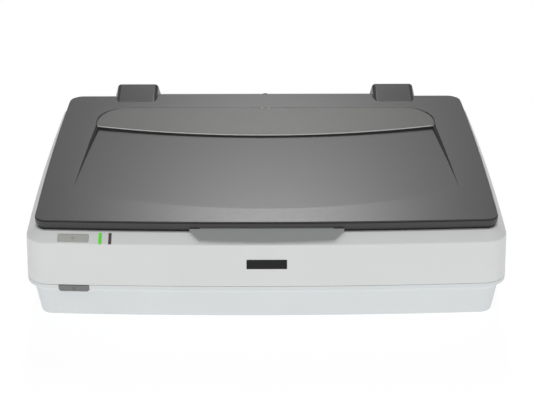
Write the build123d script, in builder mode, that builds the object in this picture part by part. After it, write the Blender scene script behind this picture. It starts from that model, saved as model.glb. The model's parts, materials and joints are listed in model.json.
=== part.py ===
"""Large-format (A3) flatbed scanner with a lift-up lid, as separate pieces.

Millimetres. +X is to the user's right, +Y to the rear, +Z up. The origin is on the desk,
under the middle of the footprint.
"""

import os
from math import acos, asin, atan2, cos, pi, radians, sin, sqrt, tan

from build123d import *

os.makedirs("parts", exist_ok=True)

# Blocks and cylinders set with their foot, or their head, on the given point
STANDING = (Align.CENTER, Align.CENTER, Align.MIN)
HANGING = (Align.CENTER, Align.CENTER, Align.MAX)

# ---------------------------------------------------------------- driving dimensions
CLEAR = 0.2  # ordinary gap between two fitted pieces
RUN = 0.03  # radial running clearance of shafts, pins and bushes
SCREW_R = 1.5
SCREW_HEAD_R = 3.0
SCREW_HOLE_R = 1.7
PILLAR_R = 5.5
BOSS_R = 5.0
STANDOFF_R = 3.5
FOOT_R = 11.0

# Case plan: bowed front and sides, straight rear, round corners
FRONT_Y = -226.0
FRONT_BOW_R = 6000.0
FRONT_HALF = 326.2
CASE_HALF = 328.4
BULGE_Y = -60.0
REAR_HALF = 320.9
REAR_Y = 220.0
CASE_SPREAD = 2.9  # how far the walls spread from the bevel's foot down to the seam
FRONT_CORNER_R = 30.0
REAR_CORNER_R = 22.0

# Case heights
FOOT_H = 2.4
TUB_TOP_Z = 44.4
FLANGE_Z = 53.5
SEAM_Z = 59.2
SEAM_GAP = 0.6
CASE_TOP_Z = 135.0
SHOULDER = 12.5  # 45 degree bevel round the top of the case
BEVEL_Z = CASE_TOP_Z - SHOULDER
WALL = 3.0
INNER_SHOULDER = SHOULDER - WALL * (2 - sqrt(2))
FLOOR_Z = 6.0
TUB_INSET_LOW = 12.0
TUB_INSET_HIGH = 6.1
TUB_KNUCKLE = 2.0  # rounding of the tub's bottom edge

# Platen
PLATEN_Y = -4.0
OPENING_X = 445.0
OPENING_Y = 318.0
GLASS_LAP = 8.0
GLASS_T = 3.0
TAPE_T = 0.3
GLASS_TOP_Z = CASE_TOP_Z - WALL - TAPE_T
GLASS_LOW_Z = GLASS_TOP_Z - GLASS_T
GLASS_X = OPENING_X + 2 * GLASS_LAP
GLASS_Y = OPENING_Y + 2 * GLASS_LAP
CLIP_T = 1.2

# Lid
LID_FRONT_HALF = 312.2
LID_HALF = 313.4
LID_BULGE_Y = -60.0
LID_REAR_HALF = 309.1
LID_FRONT_Y = -212.0
LID_SIDE_Y = 208.0
LID_MID_Y = 217.0
LID_FRONT_R = 15.5
LID_REAR_R = 20.0
LID_BOTTOM_Z = 137.0
LID_FACE_Z = 142.0
PAN_TOP_Z = 139.2
SKIN = 2.5
CROWN_Z = 151.56
CROWN_Y = -75.0
CROWN_R = 10800.0
FRAME_PROUD = 1.3
UNDERCUT = 1.2
FRAME_RIM = 11.0
SKIRT_Z = 135.6
SKIRT_T = 3.0

# Recess in the lid's top, with the raised brow behind it
CREASE_Y = 161.0
CREASE_R = 46.0
RECESS_REAR_HALF = 257.5
RECESS_FRONT_HALF = 272.0
RECESS_CORNER_Y = -129.0
PANEL_FRONT_Y = -175.6
LIP_MID_Y = 68.0
LIP_END_Y = 98.5
LIP_Z = 145.8
LIP_ROUND = 1.5
RECESS_Z = 141.3
RECESS_T = 1.8
RECESS_DRAFT = 33.0
PANEL_BOW_R = 21600.0

# Hinge and hoods, at plus and minus HOOD_X
HOOD_X = 204.5
HOOD_BASE_HALF = 36.5
HOOD_TOP_HALF = 31.4
HOOD_ROUND = 6.5
HOOD_REAR_ROUND = 1.5
HOOD_FRONT_Y = 180.0
HOOD_REAR_Y = 231.0
HOOD_TOP_Z = 159.5
HOOD_SLOPE = 0.238  # how fast the hood sinks forward into the lid
HOOD_T = 1.8
AXIS_Y = 214.0
AXIS_Z = 146.5
PIN_R = 3.0
KNUCKLE_R = 6.0
POST_X = 202.0
POST_W = 30.0
POST_T = 9.0
POST_Y = 210.0
POST_TOP_Z = 138.5
POST_BOTTOM_Z = 60.0
EAR_T = 4.0
KNUCKLE_HALF = 12.0
BRACKET_SPOTS = [(POST_X + dx, y) for dx in (-7, 7) for y in (172, 188)]
NOTCH_FLOOR_Z = 120.0

# Grip on the lid, in the bevel's own plane
HANDLE_OFF = 5.7
HANDLE_T = 2.6
HANDLE_TOP = 14.0
HANDLE_END = -2.4  # lower edge at the ends
HANDLE_LOW = -5.05  # lower edge in the middle
HANDLE_TOP_HALF = 104.0
HANDLE_LOW_HALF = 91.0

# Carriage, drawn at its home end
CARRIAGE_X = -238.0
CARRIAGE_W = 92.0
SLIT_X = CARRIAGE_X + 10.0
CARRIAGE_FRONT_Y = -166.0
CARRIAGE_REAR_Y = 172.0
CARRIAGE_MID_Y = (CARRIAGE_FRONT_Y + CARRIAGE_REAR_Y) / 2
CARRIAGE_LEFT_X = CARRIAGE_X - CARRIAGE_W / 2
CARRIAGE_TOP_Z = 118.0
CARRIAGE_BOTTOM_Z = 45.0
SHELL_T = 2.5
ROD_R = 5.0
ROD_Y = 150.0
ROD_Z = 60.0
ROD_END_X = 300.0
RAIL_Y = -152.0
RAIL_TOP_Z = 56.0
LAMP_OFF = 9.0
LAMP_W = 8.0
LAMP_H = 6.0
LAMP_CHAMFER = 3.0
LENS_Z = 95.0
LENS_BARREL_R = 11.0
LENS_BORE_R = 8.5

# Circuit boards on the floor
BOARD_Z = 12.0
BOARD_T = 1.6
BOARD_TOP_Z = BOARD_Z + BOARD_T
MAIN_X = 30.0
MAIN_Y = 131.0
SUPPLY_X = 227.0
SUPPLY_Y = 140.0

# Belt drive
BELT_Y = -180.0
BELT_Z = 50.0
DRIVE_X = 285.0
IDLER_X = -290.0
PITCH_R = 7.5
BELT_T = 1.4
BELT_W = 6.0
BELT_RUN_Y = BELT_Y + PITCH_R
MODULE = 0.8
GEAR_TEETH = 45
PINION_TEETH = 15
GEAR_CENTRES = MODULE * (GEAR_TEETH + PINION_TEETH) / 2 + 0.1
AXLE_R = 2.0
MOTOR_Y = BELT_Y + GEAR_CENTRES
MOTOR_Z = 8.0
MOTOR_R = 17.5
MOTOR_H = 22.0
MOTOR_BORE_R = 11.4
MOTOR_CAN_T = 1.2
ROTOR_R = 10.9
SHAFT_R = 1.0

# Controls on the front
START_X = -260.6
START_W = 41.4
START_H = 10.7
READY_X = -224.0
ERROR_X = -210.8
PIPE_W = 4.0
PIPE_L = 15.6
CONTROL_DROP = 1.0  # how far the controls sit below the bevel's middle
POWER_X = -263.0
POWER_W = 41.6
POWER_H = 9.6
POWER_Z = 54.1
BADGE_W = 54.6
BADGE_H = 14.0
BADGE_Z = 93.4
BADGE_T = 1.2
BOARD_DEPTH = 10.6  # control board below the bevel's surface

# Rear sockets, centred in X on the tub's rear wall
INLET_X = 230.0
INLET_Z = 26.0
USB_X = 90.0
USB_Z = 19.5
OPTION_X = 40.0
SOCKET_FACE_Y = 211.5

# Transport lock in the floor, drawn unlocked
LOCK_Y = -60.0
LOCK_W = 12.0
LOCK_L = 22.0
LOCK_TRAVEL = 6.0
LOCK_MID_Y = LOCK_Y - LOCK_TRAVEL / 2

# Home sensor, and the flag that breaks its beam
SENSOR_X = -263.0
SENSOR_Y = -169.9

SCREW_SPOTS = [(x, -199) for x in (-180, -60, 60, 180)] + [(x, 188) for x in (-285, -110, 150, 290)]
CLAMP_SPOTS = [(side * (ROD_END_X - 8), ROD_Y + end * 15.5) for side in (-1, 1) for end in (-1, 1)]
BOARD_SPOTS = [(MAIN_X + dx, MAIN_Y + dy) for dx in (-85, 85) for dy in (-53, 53)]
BOARD_SPOTS += [(SUPPLY_X + dx, SUPPLY_Y + dy) for dx in (-53, 53) for dy in (-30, 30)]
FOOT_SPOTS = [(x, y) for x in (-268, 268) for y in (-170, 172)]


# ---------------------------------------------------------------- shared shapes
def front_y(x, inset=0.0):
    """Front face of the case at x, moved in by inset."""
    radius = FRONT_BOW_R - inset
    return FRONT_Y + FRONT_BOW_R - sqrt(radius**2 - x**2)


def flange_plane(x, z):
    """Plane on the tub's upright flange at the front, facing out."""
    turn = asin(x / (FRONT_BOW_R + CASE_SPREAD))
    origin = (x, front_y(x, -CASE_SPREAD), z)
    return Plane(origin, x_dir=(cos(turn), sin(turn), 0), z_dir=(sin(turn), -cos(turn), 0))


def wall_plane(z):
    """Plane on the middle of the upper case's leaning front wall, facing out."""
    slope = CASE_SPREAD / (BEVEL_Z - SEAM_Z - SEAM_GAP)
    origin = (0, FRONT_Y - slope * (BEVEL_Z - z), z)
    return Plane(origin, x_dir=(1, 0, 0), z_dir=(0, -1, slope))


def shoulder_plane(x):
    """Plane on the case's front bevel at the controls' height, facing up and out."""
    inset = SHOULDER / 2 - CONTROL_DROP / sqrt(2)
    turn = asin(x / (FRONT_BOW_R - inset))
    origin = (x, front_y(x, inset), BEVEL_Z + inset)
    return Plane(origin, x_dir=(cos(turn), sin(turn), 0), z_dir=(sin(turn), -cos(turn), 1))


def case_outline(inset=0.0):
    """Plan of the case, moved in by inset."""
    front_half = FRONT_HALF - inset
    rear_half = REAR_HALF - inset
    bulge_half = CASE_HALF - inset
    corner_y = front_y(front_half, inset)
    rear_y = REAR_Y - inset
    with BuildSketch(mode=Mode.PRIVATE) as plan:
        with BuildLine():
            ThreePointArc((-front_half, corner_y), (0, FRONT_Y + inset), (front_half, corner_y))
            ThreePointArc((front_half, corner_y), (bulge_half, BULGE_Y), (rear_half, rear_y))
            Line((rear_half, rear_y), (-rear_half, rear_y))
            ThreePointArc((-rear_half, rear_y), (-bulge_half, BULGE_Y), (-front_half, corner_y))
        make_face()
        fillet(plan.vertices().group_by(Axis.Y)[0], FRONT_CORNER_R - inset)
        fillet(plan.vertices().group_by(Axis.Y)[-1], REAR_CORNER_R - inset)
    return plan.sketch


def lid_outline(grow=0.0):
    """Plan of the lid, grown by grow. The rear steps back between the hoods."""
    front_half = LID_FRONT_HALF + grow
    bulge_half = LID_HALF + grow
    rear_half = LID_REAR_HALF + grow
    mid_y = LID_FRONT_Y - grow
    corner_y = mid_y + front_half**2 / (2 * FRONT_BOW_R)
    side_y = LID_SIDE_Y + grow
    with BuildSketch(mode=Mode.PRIVATE) as plan:
        with BuildLine():
            ThreePointArc((-front_half, corner_y), (0, mid_y), (front_half, corner_y))
            ThreePointArc((front_half, corner_y), (bulge_half, LID_BULGE_Y), (rear_half, side_y))
            Line((rear_half, side_y), (-rear_half, side_y))
            ThreePointArc((-rear_half, side_y), (-bulge_half, LID_BULGE_Y), (-front_half, corner_y))
        make_face()
        fillet(plan.vertices().group_by(Axis.Y)[0], LID_FRONT_R + grow)
        fillet(plan.vertices().group_by(Axis.Y)[-1], LID_REAR_R + grow)
        with Locations((0, (LID_MID_Y + grow) / 2)):
            Rectangle(2 * HOOD_X, LID_MID_Y + grow)
    return plan.sketch


def crown_z(y, drop=0.0):
    """Height of the lid's gently crowned top at y, lowered by drop."""
    return CROWN_Z - drop - (y - CROWN_Y) ** 2 / (2 * CROWN_R)


def panel_z(y):
    """Height of the recessed panel's middle at y: it rises forward and shares the lid's crown."""
    length = LIP_END_Y - PANEL_FRONT_Y
    behind = LIP_END_Y - y
    rise = (crown_z(PANEL_FRONT_Y) - RECESS_Z) * behind / length
    return RECESS_Z + rise + behind * (length - behind) / (2 * CROWN_R)


def above_crown(drop=0.0):
    """Block of everything above the lid's top lowered by drop."""
    reach = 250.0
    with BuildPart(mode=Mode.PRIVATE) as block:
        with BuildSketch(Plane.YZ):
            with BuildLine():
                ends = [(side * reach, crown_z(side * reach, drop)) for side in (-1, 1)]
                ThreePointArc(ends[0], (0, crown_z(0, drop)), ends[1])
                Polyline(ends[1], (reach, 200), (-reach, 200), ends[0])
            make_face()
        extrude(amount=CASE_HALF + 20, both=True)
    return block.part


def recess_outline(grow=0.0, front=0.0):
    """Plan of the lid's recess, grown by grow, its front arc moved out by front."""
    front_half = RECESS_FRONT_HALF + grow
    rear_half = RECESS_REAR_HALF + grow
    corner_y = RECESS_CORNER_Y - grow - front
    rear_y = CREASE_Y + grow
    with BuildSketch(mode=Mode.PRIVATE) as plan:
        with BuildLine():
            corners = ((-front_half, corner_y), (front_half, corner_y))
            ThreePointArc(corners[0], (0, PANEL_FRONT_Y - grow - front), corners[1])
            Polyline(corners[1], (rear_half, rear_y), (-rear_half, rear_y), corners[0])
        make_face()
        fillet(plan.vertices().group_by(Axis.Y)[-1], CREASE_R + grow)
    return plan.sketch


def brow_outline(gap=0.0):
    """Plan of the brow: the recess behind the lip's arc, with a gap at its edge."""
    with BuildSketch(mode=Mode.PRIVATE) as plan:
        add(recess_outline(-gap))
        with BuildSketch(mode=Mode.INTERSECT):
            with BuildLine():
                ends = [(side * 280, LIP_END_Y + 5) for side in (-1, 1)]
                ThreePointArc(ends[0], (0, LIP_MID_Y), ends[1])
                Polyline(ends[1], (280, 240), (-280, 240), ends[0])
            make_face()
    return plan.sketch


def hood_block(inset, base_z):
    """Hood on the +X side, moved in by inset: a rounded section that sinks forward."""
    base_half = HOOD_BASE_HALF - inset
    top_half = HOOD_TOP_HALF - inset
    top_z = HOOD_TOP_Z - inset
    rear_y = HOOD_REAR_Y - inset
    low_z = base_z - HOOD_SLOPE
    with BuildPart(mode=Mode.PRIVATE) as hood:
        with BuildSketch(Plane.XZ.offset(-rear_y)) as section:
            with BuildLine():
                Polyline(
                    (HOOD_X - base_half, low_z),
                    (HOOD_X - top_half, top_z),
                    (HOOD_X + top_half, top_z),
                    (HOOD_X + base_half, low_z),
                    close=True,
                )
            make_face()
            fillet(section.vertices().group_by(Axis.Y)[-1], HOOD_ROUND - inset)
        length = (rear_y - HOOD_FRONT_Y) * sqrt(1 + HOOD_SLOPE**2)
        extrude(amount=length, dir=(0, -1, -HOOD_SLOPE))
        split(bisect_by=Plane.XY.offset(base_z), keep=Keep.TOP)
        if not inset:
            rear_edges = hood.faces().sort_by(Axis.Y)[-1].edges()
            fillet(rear_edges.sort_by(Axis.Z)[1:], HOOD_REAR_ROUND)
    return hood.part


def gear_outline(teeth, backlash=0.12):
    """Involute spur gear, 20 degree pressure angle, one tooth centred on +X."""
    pressure = radians(20)
    pitch_r = MODULE * teeth / 2
    base_r = pitch_r * cos(pressure)
    tip_r = pitch_r + MODULE
    root_r = pitch_r - 1.25 * MODULE
    half_pitch = (pi * MODULE / 2 - backlash) / (2 * pitch_r)

    def half_angle(radius):
        turn = acos(min(1.0, base_r / radius))
        return half_pitch + (tan(pressure) - pressure) - (tan(turn) - turn)

    foot_r = max(base_r, root_r + 0.1)
    flank = [foot_r + step * (tip_r - foot_r) / 3 for step in range(4)]
    corners = []
    for tooth in range(teeth):
        middle = 2 * pi * tooth / teeth
        rising = [(root_r, -half_angle(flank[0]))] + [(radius, -half_angle(radius)) for radius in flank]
        falling = [(radius, -angle) for radius, angle in reversed(rising)]
        corners += [(r * cos(middle + a), r * sin(middle + a)) for r, a in rising + falling]
    with BuildSketch(mode=Mode.PRIVATE) as plan:
        with BuildLine():
            Polyline(*corners, close=True)
        make_face()
    return plan.sketch


# ---------------------------------------------------------------- case
TUB_SECTIONS = [
    (FOOT_H, TUB_INSET_LOW + TUB_KNUCKLE),
    (FOOT_H + TUB_KNUCKLE * 0.3, TUB_INSET_LOW + TUB_KNUCKLE * 0.3),
    (FOOT_H + TUB_KNUCKLE, TUB_INSET_LOW),
    (TUB_TOP_Z, TUB_INSET_HIGH),
    (TUB_TOP_Z + 2.0, TUB_INSET_HIGH - 1.2),
    (FLANGE_Z, -CASE_SPREAD),
    (SEAM_Z, -CASE_SPREAD),
]
CAVITY_SECTIONS = [
    (FLOOR_Z, TUB_INSET_LOW + WALL),
    (TUB_TOP_Z + 1.4, TUB_INSET_HIGH + WALL),
    (FLANGE_Z + 1.4, WALL - CASE_SPREAD),
    (SEAM_Z + 1.0, WALL - CASE_SPREAD),
]
UPPER_SECTIONS = [
    (SEAM_Z + SEAM_GAP, -CASE_SPREAD),
    (BEVEL_Z, 0.0),
    (CASE_TOP_Z, SHOULDER),
]
UPPER_CAVITY_SECTIONS = [
    (SEAM_Z + SEAM_GAP, WALL - CASE_SPREAD),
    (CASE_TOP_Z - WALL - INNER_SHOULDER, WALL),
    (CASE_TOP_Z - WALL, WALL + INNER_SHOULDER),
]

with BuildPart() as lower_case:
    for height, inset in TUB_SECTIONS:
        with BuildSketch(Plane.XY.offset(height)):
            add(case_outline(inset))
    loft(ruled=True)
    for height, inset in CAVITY_SECTIONS:
        with BuildSketch(Plane.XY.offset(height)):
            add(case_outline(inset))
    loft(ruled=True, mode=Mode.SUBTRACT)
    # Screw pillars up to the upper case's bosses
    with BuildSketch(Plane.XY.offset(FLOOR_Z - 1)):
        with Locations(*SCREW_SPOTS):
            Circle(PILLAR_R)
    extrude(amount=SEAM_Z - 2 - FLOOR_Z + 1)
    # Pillars for the boards, the supply and the home sensor
    with BuildSketch(Plane.XY.offset(FLOOR_Z - 1)):
        with Locations(*BOARD_SPOTS):
            Circle(STANDOFF_R)
    extrude(amount=BOARD_Z - FLOOR_Z + 1)
    with BuildSketch(Plane.XY.offset(FLOOR_Z - 1)):
        with Locations((SENSOR_X, SENSOR_Y)):
            Rectangle(14, 8)
    extrude(amount=30 - FLOOR_Z + 1)
    # Idler post and the spring's anchor
    with BuildSketch(Plane.XY.offset(FLOOR_Z - 1)):
        with Locations((IDLER_X + 6, BELT_Y)):
            Rectangle(26, 14)
    extrude(amount=40 - FLOOR_Z + 1)
    with BuildSketch(Plane.XY.offset(FLOOR_Z - 1)):
        with Locations((-231, BELT_Y)):
            Rectangle(4, 9)
    extrude(amount=46 - FLOOR_Z + 1)
    # Pilot holes of the inner screws
    with Locations(*[(x, y, BOARD_Z) for x, y in BOARD_SPOTS]):
        Cylinder(SCREW_R + RUN, 6.5, align=HANGING, mode=Mode.SUBTRACT)
    with Locations(*[(x, y, FLOOR_Z) for x, y in CLAMP_SPOTS]):
        Cylinder(SCREW_R + RUN, 2.2, align=HANGING, mode=Mode.SUBTRACT)
    # Screw wells from below
    with Locations(*[(x, y, FOOT_H) for x, y in SCREW_SPOTS]):
        Cylinder(1.8, 160, mode=Mode.SUBTRACT)
        Cylinder(3.4, 6, align=STANDING, mode=Mode.SUBTRACT)
    # Shallow seats for the feet
    with Locations(*[(x, y, FOOT_H - 1) for x, y in FOOT_SPOTS]):
        Cylinder(FOOT_R + CLEAR, 2.0, align=STANDING, mode=Mode.SUBTRACT)
    # Power button's opening, cut up to the seam
    with BuildSketch(flange_plane(POWER_X, POWER_Z + 1.5).offset(1)):
        Rectangle(POWER_W + 2 * CLEAR, POWER_H + 3 + 2 * CLEAR)
    extrude(amount=-11, mode=Mode.SUBTRACT)
    # Rear sockets
    with Locations((INLET_X, REAR_Y - 15, INLET_Z)):
        Box(27.6, 30, 20.4, mode=Mode.SUBTRACT)
    with Locations((USB_X, REAR_Y - 15, USB_Z)):
        Box(12.6, 30, 12.2, mode=Mode.SUBTRACT)
    with Locations((OPTION_X, REAR_Y - 15, USB_Z)):
        Cylinder(6.0, 30, rotation=(90, 0, 0), mode=Mode.SUBTRACT)
    # Cooling slots under the power supply
    with Locations((SUPPLY_X, SUPPLY_Y, FOOT_H + 1)):
        with GridLocations(10, 0, 8, 1):
            Box(3, 40, 10, mode=Mode.SUBTRACT)
    # Slot for the transport lock
    with Locations((CARRIAGE_X, LOCK_Y, FOOT_H + 1)):
        Box(LOCK_W + 2 * CLEAR, LOCK_L + LOCK_TRAVEL + 2 * CLEAR, 10, mode=Mode.SUBTRACT)

with BuildPart() as upper_case:
    for height, inset in UPPER_SECTIONS:
        with BuildSketch(Plane.XY.offset(height)):
            add(case_outline(inset))
    loft(ruled=True)
    fillet(upper_case.faces().sort_by(Axis.Z)[-1].edges(), 1.5)
    fillet(upper_case.edges().filter_by_position(Axis.Z, BEVEL_Z - 0.1, BEVEL_Z + 0.1), 2.0)
    for height, inset in UPPER_CAVITY_SECTIONS:
        with BuildSketch(Plane.XY.offset(height)):
            add(case_outline(inset))
    loft(ruled=True, mode=Mode.SUBTRACT)
    # Platen opening
    with BuildSketch(Plane.XY.offset(CASE_TOP_Z - WALL - 1)):
        with Locations((0, PLATEN_Y)):
            RectangleRounded(OPENING_X, OPENING_Y, 2)
    extrude(amount=WALL + 2, mode=Mode.SUBTRACT)
    # Screw bosses hanging from the top
    with BuildSketch(Plane.XY.offset(SEAM_Z - 1)):
        with Locations(*SCREW_SPOTS):
            Circle(BOSS_R)
    extrude(amount=CASE_TOP_Z - WALL + 0.5 - SEAM_Z + 1)
    with Locations(*[(x, y, SEAM_Z - 1) for x, y in SCREW_SPOTS]):
        Cylinder(SCREW_R + RUN, 30, align=STANDING, mode=Mode.SUBTRACT)
    # Hinge wells: walled notches in the rear bevel, open upwards and to the rear
    for side in (-1, 1):
        with Locations((side * HOOD_X, REAR_Y - WALL - 8, (NOTCH_FLOOR_Z - WALL + CASE_TOP_Z - 1) / 2)):
            Box(2 * HOOD_BASE_HALF + 18, 16, CASE_TOP_Z - 1 - NOTCH_FLOOR_Z + WALL)
        with Locations((side * HOOD_X, REAR_Y - 4, NOTCH_FLOOR_Z + 10)):
            Box(2 * HOOD_BASE_HALF + 12, 22, 20, mode=Mode.SUBTRACT)
        with Locations((side * POST_X, POST_Y, NOTCH_FLOOR_Z)):
            Box(POST_W + 6.4, POST_T + 4.6, 20, mode=Mode.SUBTRACT)
    # Openings for the start button and the two light pipes
    with BuildSketch(shoulder_plane(START_X).offset(2)):
        RectangleRounded(START_W + 2 * CLEAR, START_H + 2 * CLEAR, 1.2)
    extrude(amount=-8, mode=Mode.SUBTRACT)
    for pipe_x in (READY_X, ERROR_X):
        with BuildSketch(shoulder_plane(pipe_x).offset(2)):
            Rectangle(PIPE_W + 0.1, PIPE_L + 0.1)
        extrude(amount=-8, mode=Mode.SUBTRACT)
    # Posts that hold the control board behind the bevel
    for post_x in (-291, -202):
        with BuildSketch(shoulder_plane(post_x).offset(-BOARD_DEPTH + 0.6)):
            Circle(2.5)
        extrude(amount=BOARD_DEPTH - 2)
    # Shallow seat for the front plate
    with BuildSketch(wall_plane(BADGE_Z).offset(1)):
        RectangleRounded(BADGE_W + 0.2, BADGE_H + 0.2, 1)
    extrude(amount=-1.8, mode=Mode.SUBTRACT)

with BuildPart() as platen_glass:
    with BuildSketch(Plane.XY.offset(GLASS_LOW_Z)):
        with Locations((0, PLATEN_Y)):
            RectangleRounded(GLASS_X, GLASS_Y, 1.5)
    extrude(amount=GLASS_T)

with BuildPart() as glass_tape:
    with BuildSketch(Plane.XY.offset(GLASS_TOP_Z)):
        with Locations((0, PLATEN_Y)):
            Rectangle(GLASS_X - 1, GLASS_Y - 1)
            Rectangle(OPENING_X + 2, OPENING_Y + 2, mode=Mode.SUBTRACT)
    extrude(amount=TAPE_T)

# Spring steel clips that press the glass up against the tape
with BuildPart() as glass_clips:
    with BuildSketch(Plane.XY.offset(GLASS_LOW_Z - CLIP_T)):
        for side in (-1, 1):
            with Locations(*[(x, PLATEN_Y + side * (GLASS_Y / 2 + 2)) for x in (-140, 140)]):
                Rectangle(24, 16)
    extrude(amount=CLIP_T)
    with BuildSketch(Plane.XY.offset(GLASS_LOW_Z - CLIP_T)):
        for side in (-1, 1):
            with Locations(*[(x, PLATEN_Y + side * (GLASS_Y / 2 + 5.5)) for x in (-140, 140)]):
                Rectangle(24, 9)
    extrude(amount=CASE_TOP_Z - WALL - GLASS_LOW_Z + CLIP_T)

with BuildPart() as calibration_strip:
    with Locations((-OPENING_X / 2 - 4, PLATEN_Y, GLASS_LOW_Z - 0.3)):
        Box(6, OPENING_Y, 0.3, align=STANDING)

with BuildPart() as badge_plate:
    with BuildSketch(wall_plane(BADGE_Z).offset(-0.75)):
        RectangleRounded(BADGE_W, BADGE_H, 0.9)
    extrude(amount=BADGE_T)
    chamfer(badge_plate.faces().sort_by(Axis.Y)[0].edges(), 0.3)

with BuildPart() as rubber_feet:
    with BuildSketch():
        with Locations(*FOOT_SPOTS):
            Circle(FOOT_R)
    extrude(amount=FOOT_H + 0.95)
    chamfer(rubber_feet.edges().group_by(Axis.Z)[0], 1)

with BuildPart() as case_screws:
    with Locations(*[(x, y, FOOT_H + 6 - 2.6) for x, y in SCREW_SPOTS]):
        Cylinder(SCREW_HEAD_R, 2.6, align=STANDING)
        Cylinder(1.1, 1.4, align=STANDING, mode=Mode.SUBTRACT)
    with Locations(*[(x, y, FOOT_H + 6) for x, y in SCREW_SPOTS]):
        Cylinder(SCREW_R, SEAM_Z + 20 - FOOT_H - 6, align=STANDING)

# ---------------------------------------------------------------- controls
with BuildPart() as start_button:
    with BuildSketch(shoulder_plane(START_X).offset(-3.6)):
        RectangleRounded(START_W, START_H, 1.0)
    extrude(amount=3.6 + 0.8)
    chamfer(start_button.faces().sort_by(Axis((0, 0, 0), (0, -1, 1)))[-1].edges(), 0.4)
    with BuildSketch(shoulder_plane(START_X).offset(-5.2)):
        Rectangle(START_W + 3.5, START_H + 2.6)
    extrude(amount=1.6)
    with BuildSketch(shoulder_plane(START_X).offset(-6.3)):
        Circle(2.5)
    extrude(amount=1.2)


def light_pipe(x):
    """Clear bar that carries a control board lamp's light through the bevel."""
    with BuildPart() as pipe:
        with BuildSketch(shoulder_plane(x).offset(-8.6)):
            Rectangle(PIPE_W, PIPE_L)
        extrude(amount=8.6 + 0.3)
    return pipe


ready_light_pipe = light_pipe(READY_X)
error_light_pipe = light_pipe(ERROR_X)

with BuildPart() as control_board:
    board_x = (START_X + ERROR_X) / 2 - 10
    with BuildSketch(shoulder_plane(board_x).offset(-BOARD_DEPTH - 1.6)):
        RectangleRounded(98, 13, 1)
    extrude(amount=1.6)
    with BuildSketch(shoulder_plane(START_X).offset(-BOARD_DEPTH - 0.5)):
        Rectangle(6, 6)
    extrude(amount=2.0)
    with BuildSketch(shoulder_plane(START_X).offset(-BOARD_DEPTH)):
        Circle(1.8)
    extrude(amount=3.2)
    for lamp_x in (READY_X, ERROR_X):
        with BuildSketch(shoulder_plane(lamp_x).offset(-BOARD_DEPTH - 0.5)):
            Rectangle(2.4, 4)
        extrude(amount=1.5)

with BuildPart() as power_button:
    with BuildSketch(flange_plane(POWER_X, POWER_Z).offset(-11.4)):
        Rectangle(POWER_W, POWER_H)
    extrude(amount=11.4 + 0.5)
    chamfer(power_button.edges().filter_by(Axis.Y, tolerance=5).group_by(Axis.Z)[0], 2.4)
    chamfer(power_button.faces().sort_by(Axis.Y)[0].edges(), 0.4)
    with BuildSketch(flange_plane(POWER_X, POWER_Z - 0.4).offset(-12.6)):
        Rectangle(POWER_W + 5, POWER_H - 0.8)
    extrude(amount=1.4)
    with BuildSketch(flange_plane(POWER_X, POWER_Z - 1).offset(-14.0)):
        Circle(2.5)
    extrude(amount=1.6)

with BuildPart() as switch_board:
    with BuildSketch(flange_plane(POWER_X, 33).offset(-24.0)):
        Rectangle(30, 2 * (33 - FLOOR_Z))
    extrude(amount=1.6)
    with BuildSketch(flange_plane(POWER_X, POWER_Z - 1).offset(-22.5)):
        Rectangle(12, 10)
    extrude(amount=5.3)
    with BuildSketch(flange_plane(POWER_X, POWER_Z - 1).offset(-17.3)):
        Rectangle(4, 3)
    extrude(amount=2.1)

with BuildPart() as transport_lock:
    with BuildSketch(Plane.XY.offset(FOOT_H + 0.2)):
        with Locations((CARRIAGE_X, LOCK_MID_Y)):
            Rectangle(LOCK_W, LOCK_L)
    extrude(amount=FLOOR_Z - FOOT_H + 0.2)
    with BuildSketch(Plane.XY.offset(FLOOR_Z + 0.2)):
        with Locations((CARRIAGE_X, LOCK_MID_Y)):
            Rectangle(LOCK_W + 10, LOCK_L + 8)
    extrude(amount=2.4)
    with Locations((CARRIAGE_X, LOCK_MID_Y - 4, FLOOR_Z + 2)):
        Box(6, 4, 34, align=STANDING)
    with Locations((CARRIAGE_X, LOCK_MID_Y - 1, FLOOR_Z + 32)):
        Box(6, 10, 4, align=STANDING)
    # Finger grooves on the underside
    with Locations((CARRIAGE_X, LOCK_MID_Y, FOOT_H + CLEAR)):
        with GridLocations(0, 4, 1, 4):
            Box(LOCK_W, 1.2, 1.6, mode=Mode.SUBTRACT)

# ---------------------------------------------------------------- guides and electronics
with BuildPart() as guide_rod:
    with Locations((0, ROD_Y, ROD_Z)):
        Cylinder(ROD_R, 2 * ROD_END_X, rotation=(0, 90, 0))
    chamfer(guide_rod.edges(), 0.8)

with BuildPart() as rod_clamps:
    for side in (-1, 1):
        with Locations((side * (ROD_END_X - 8), ROD_Y, FLOOR_Z)):
            Box(12, 22, ROD_Z + 9 - FLOOR_Z, align=STANDING)
            Box(12, 40, 5, align=STANDING)
        with Locations((side * (ROD_END_X - 8), ROD_Y, ROD_Z)):
            Cylinder(ROD_R + RUN, 20, rotation=(0, 90, 0), mode=Mode.SUBTRACT)
    with Locations(*[(x, y, FLOOR_Z) for x, y in CLAMP_SPOTS]):
        Cylinder(SCREW_HOLE_R, 20, mode=Mode.SUBTRACT)


def pan_screws(spots, seat_z, grip):
    """Cross-head screws seated at seat_z, their shanks reaching down by grip."""
    with BuildPart(mode=Mode.PRIVATE) as screws:
        with Locations(*[(x, y, seat_z) for x, y in spots]):
            Cylinder(SCREW_HEAD_R, 2.0, align=STANDING)
            Cylinder(SCREW_R, grip, align=HANGING)
        with Locations(*[(x, y, seat_z + 2) for x, y in spots]):
            Box(3.4, 0.8, 1.6, mode=Mode.SUBTRACT)
            Box(0.8, 3.4, 1.6, mode=Mode.SUBTRACT)
    return screws.part


with BuildPart() as base_screws:
    add(pan_screws(CLAMP_SPOTS, FLOOR_Z + 5, 7))
    add(pan_screws(BOARD_SPOTS, BOARD_Z + BOARD_T, 7))

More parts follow.
